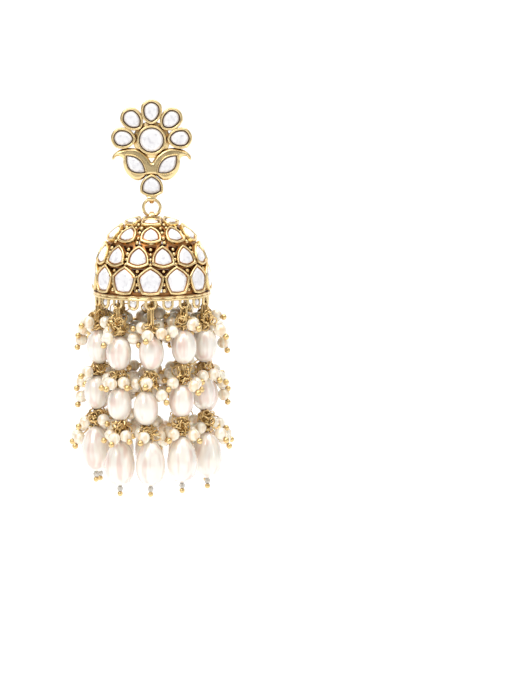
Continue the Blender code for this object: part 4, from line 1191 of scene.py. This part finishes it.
class EARRING_OT_add_pearls(bpy.types.Operator):
    """Add the ten strands' oval and egg-shaped pearls."""

    bl_idname = "earring.add_pearls"
    bl_label = "Add Pearls"

    def execute(self, context):
        draw = random.Random(11)
        for index in range(STRANDS):
            for tier in ("upper", "middle", "drop"):
                node = f"{tier}_pearl_{index + 1:02d}"
                low, high = box_mm(node)
                egg = PEARL_EGG if tier == "drop" else draw.uniform(-0.02, 0.05)
                add_piece(f"lustre_{node}", pearl_mesh(low, high, egg, draw), bpy.data.materials[PEARL],
                          "hanging_dome", [node])
        return {"FINISHED"}


class EARRING_OT_add_wire_work(bpy.types.Operator):
    """Add links, wire loops, pins and seed pearls of the ten strands."""

    bl_idname = "earring.add_wire_work"
    bl_label = "Add Wire Work"

    def execute(self, context):
        size = context.scene.earring_strands
        thin = size.wire_radius / MM
        seed = size.seed / MM
        ball_end = size.ball / MM
        gold = bpy.data.materials[WIRE_METAL]
        pearl = bpy.data.materials[SEED]
        glass = bpy.data.materials[CLEAR]
        draw = random.Random(7)
        plans = [strand_plan(index) for index in range(STRANDS)]
        seeds, roots, owners = place_seeds(plans, size.seeds, seed, draw)
        for index, (out, side, hook, bundles, foot) in enumerate(plans):
            parts = [oval_link(hook, math.cos(LINK_TURN) * out + math.sin(LINK_TURN) * side)]
            pearls = []
            for above, top in bundles:
                loops = round(size.loops * min(1.0, 0.45 + 0.15 * (above[2] - top[2])))
                parts.append(wire_bundle(above, top, loops, thin, draw))
                parts.append(straight_wire(above + PIN_ABOVE * UP, top - PIN_INTO_PEARL * UP, PIN_RADIUS))
            parts.append(straight_wire(foot + END_PIN_INTO_PEARL * UP, foot - END_PIN_LENGTH * UP,
                                       END_PIN_RADIUS))
            parts.append(ball(foot - END_BALL_DROP * UP, END_BALL_RADIUS, 16, 10))
            for place, root, owner in zip(seeds, roots, owners):
                if owner != index:
                    continue
                heading = place - root
                heading = heading / np.linalg.norm(heading) + SEED_DROOP
                heading /= np.linalg.norm(heading)
                tip = place + heading * (0.5 * seed + 0.42 * ball_end)
                parts.append(straight_wire(root, place - heading * 0.45 * seed, thin))
                parts.append(straight_wire(place - heading * 0.6 * seed, tip, thin))
                parts.append(ball(tip, 0.5 * ball_end, 14, 9))
                pearls.append(ball(place, 0.5 * seed, 24, 16))
            number = f"{index + 1:02d}"
            add_piece(f"wire_work_{number}", merged(parts), gold, "hanging_dome",
                      [f"strand_chain_{number}"], WIRE_EDGE)
            add_piece(f"seed_pearls_{number}", merged(pearls), pearl, "hanging_dome")
            end = ball(foot - END_BEAD_DROP * UP, END_BEAD_RADIUS, 20, 12)
            add_piece(f"end_bead_{number}", end, glass, "hanging_dome")
        return {"FINISHED"}


class EARRING_OT_set_stage(bpy.types.Operator):
    """Set up the paper background, the soft lights and the camera."""

    bl_idname = "earring.set_stage"
    bl_label = "Set Stage"

    def execute(self, context):
        look = context.scene.earring_stage
        scene = context.scene
        aim = Vector((look.aim_across, 0.0, look.aim_height))
        # Matt seamless paper, an even white with the faintest fibre
        paper, tree, shader = new_material("background paper", {"Roughness": 0.9})
        place = add_node(tree, "ShaderNodeTexCoord").outputs["Object"]
        fibre = add_node(tree, "ShaderNodeTexNoise", {"Vector": place, "Scale": repeats(PAPER_FIBRE)})
        white = tuple(look.paper)
        stops = ((0.0, tuple(0.99 * v for v in white)), (1.0, white))
        shade = add_node(tree, "ShaderNodeValToRGB", {"Fac": fibre.outputs["Fac"]}, stops)
        tree.links.new(shade.outputs["Color"], shader.inputs["Base Color"])
        floor_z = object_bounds()[0][2] - FLOOR_DROP
        profile = [(PAPER_FRONT, floor_z), (PAPER_BEND_FROM, floor_z)]
        for turn in (0.5 * math.pi * k / PAPER_BENDS for k in range(1, PAPER_BENDS + 1)):
            profile.append((PAPER_BEND_FROM + PAPER_BEND * math.sin(turn),
                            floor_z + PAPER_BEND - PAPER_BEND * math.cos(turn)))
        profile.append((PAPER_BEND_FROM + PAPER_BEND, PAPER_TOP))
        points = [(x, y, z) for y, z in profile for x in (-PAPER_TOP, PAPER_TOP)]
        faces = [(2 * i, 2 * i + 1, 2 * i + 3, 2 * i + 2) for i in range(len(profile) - 1)]
        mesh = bpy.data.meshes.new("paper_sweep")
        mesh.from_pydata(points, [], faces)
        mesh.shade_smooth()
        mesh.materials.append(paper)
        sweep = bpy.data.objects.new("paper_sweep", mesh)
        scene.collection.objects.link(sweep)
        sweep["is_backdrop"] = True
        for name, place, target, size, power in (
            ("key_light", (-0.45, -0.70, 0.55), aim, 0.40, 2.6),
            ("fill_light", (0.75, -0.60, 0.10), aim, 0.35, 0.55),
            ("top_light", (0.05, -0.10, 0.80), aim, 0.50, 1.6),
            ("paper_light", (0.0, 0.12, 1.05), Vector((0.0, 0.85, -0.10)), 1.6, 12.0),
        ):
            lamp = bpy.data.lights.new(name, "AREA")
            lamp.size = size
            lamp.energy = power
            item = bpy.data.objects.new(name, lamp)
            item.location = place
            item.rotation_euler = (target - Vector(place)).to_track_quat("-Z", "Y").to_euler()
            scene.collection.objects.link(item)
            item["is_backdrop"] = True
        world = bpy.data.worlds.new("studio")
        scene.world = world
        world.use_nodes = True
        tree = world.node_tree
        place = add_node(tree, "ShaderNodeTexCoord").outputs["Generated"]
        split = add_node(tree, "ShaderNodeSeparateXYZ", {"Vector": place})
        height = add_node(tree, "ShaderNodeMapRange", {
            "Value": split.outputs["Z"], "From Min": -0.6, "From Max": 0.8})
        stops = ((0.0, (0.34, 0.31, 0.28)), (0.45, (0.68, 0.66, 0.64)), (1.0, (1.0, 1.0, 1.0)))
        sky = add_node(tree, "ShaderNodeValToRGB", {"Fac": height.outputs["Result"]}, stops)
        background = tree.nodes["Background"]
        tree.links.new(sky.outputs["Color"], background.inputs["Color"])
        background.inputs["Strength"].default_value = SKY_STRENGTH
        data = bpy.data.cameras.new("camera")
        data.sensor_fit = "VERTICAL"
        data.sensor_height = SENSOR_HEIGHT
        data.lens = SENSOR_HEIGHT * look.distance / look.view_height
        camera = bpy.data.objects.new("camera", data)
        toward = Vector((0.0, -math.cos(look.elevation), math.sin(look.elevation)))
        camera.location = aim + look.distance * toward
        camera.rotation_euler = (-toward).to_track_quat("-Z", "Y").to_euler()
        scene.collection.objects.link(camera)
        scene.camera = camera
        scene.view_settings.view_transform = "Standard"
        return {"FINISHED"}


class EARRING_PT_panel(bpy.types.Panel):
    """Steps and settings of the earring."""

    bl_label = "Jhumka Earring"
    bl_idname = "EARRING_PT_panel"
    bl_space_type = "VIEW_3D"
    bl_region_type = "UI"
    bl_category = "Earring"

    def draw(self, context):
        for group in GROUPS:
            settings = getattr(context.scene, group)
            box = self.layout.box()
            for name in settings.__annotations__:
                box.prop(settings, name)
        for operator in OPERATORS:
            self.layout.operator(operator.bl_idname)


GROUPS = {
    "earring_finishes": EarringFinishes,
    "earring_stones": EarringStones,
    "earring_strands": EarringStrands,
    "earring_stage": EarringStage,
}
OPERATORS = (
    EARRING_OT_make_finishes,
    EARRING_OT_add_stud,
    EARRING_OT_add_ring_and_post,
    EARRING_OT_dress_dome,
    EARRING_OT_add_pearls,
    EARRING_OT_add_wire_work,
    EARRING_OT_set_stage,
)


def register():
    """Register the settings, the operators and the panel."""
    for item in (*GROUPS.values(), *OPERATORS, EARRING_PT_panel):
        bpy.utils.register_class(item)
    for name, group in GROUPS.items():
        setattr(bpy.types.Scene, name, bpy.props.PointerProperty(type=group))


def unregister():
    """Take the settings, the operators and the panel away again."""
    for name in GROUPS:
        delattr(bpy.types.Scene, name)
    for item in (EARRING_PT_panel, *reversed(OPERATORS), *reversed(GROUPS.values())):
        bpy.utils.unregister_class(item)


def main():
    """Build the dressed earring step by step."""
    random.seed(3)
    register()
    bpy.ops.earring.make_finishes()
    bpy.ops.earring.add_stud()
    bpy.ops.earring.add_ring_and_post()
    bpy.ops.earring.dress_dome()
    bpy.ops.earring.add_pearls()
    bpy.ops.earring.add_wire_work()
    bpy.ops.earring.set_stage()


if __name__ == "__main__":
    main()
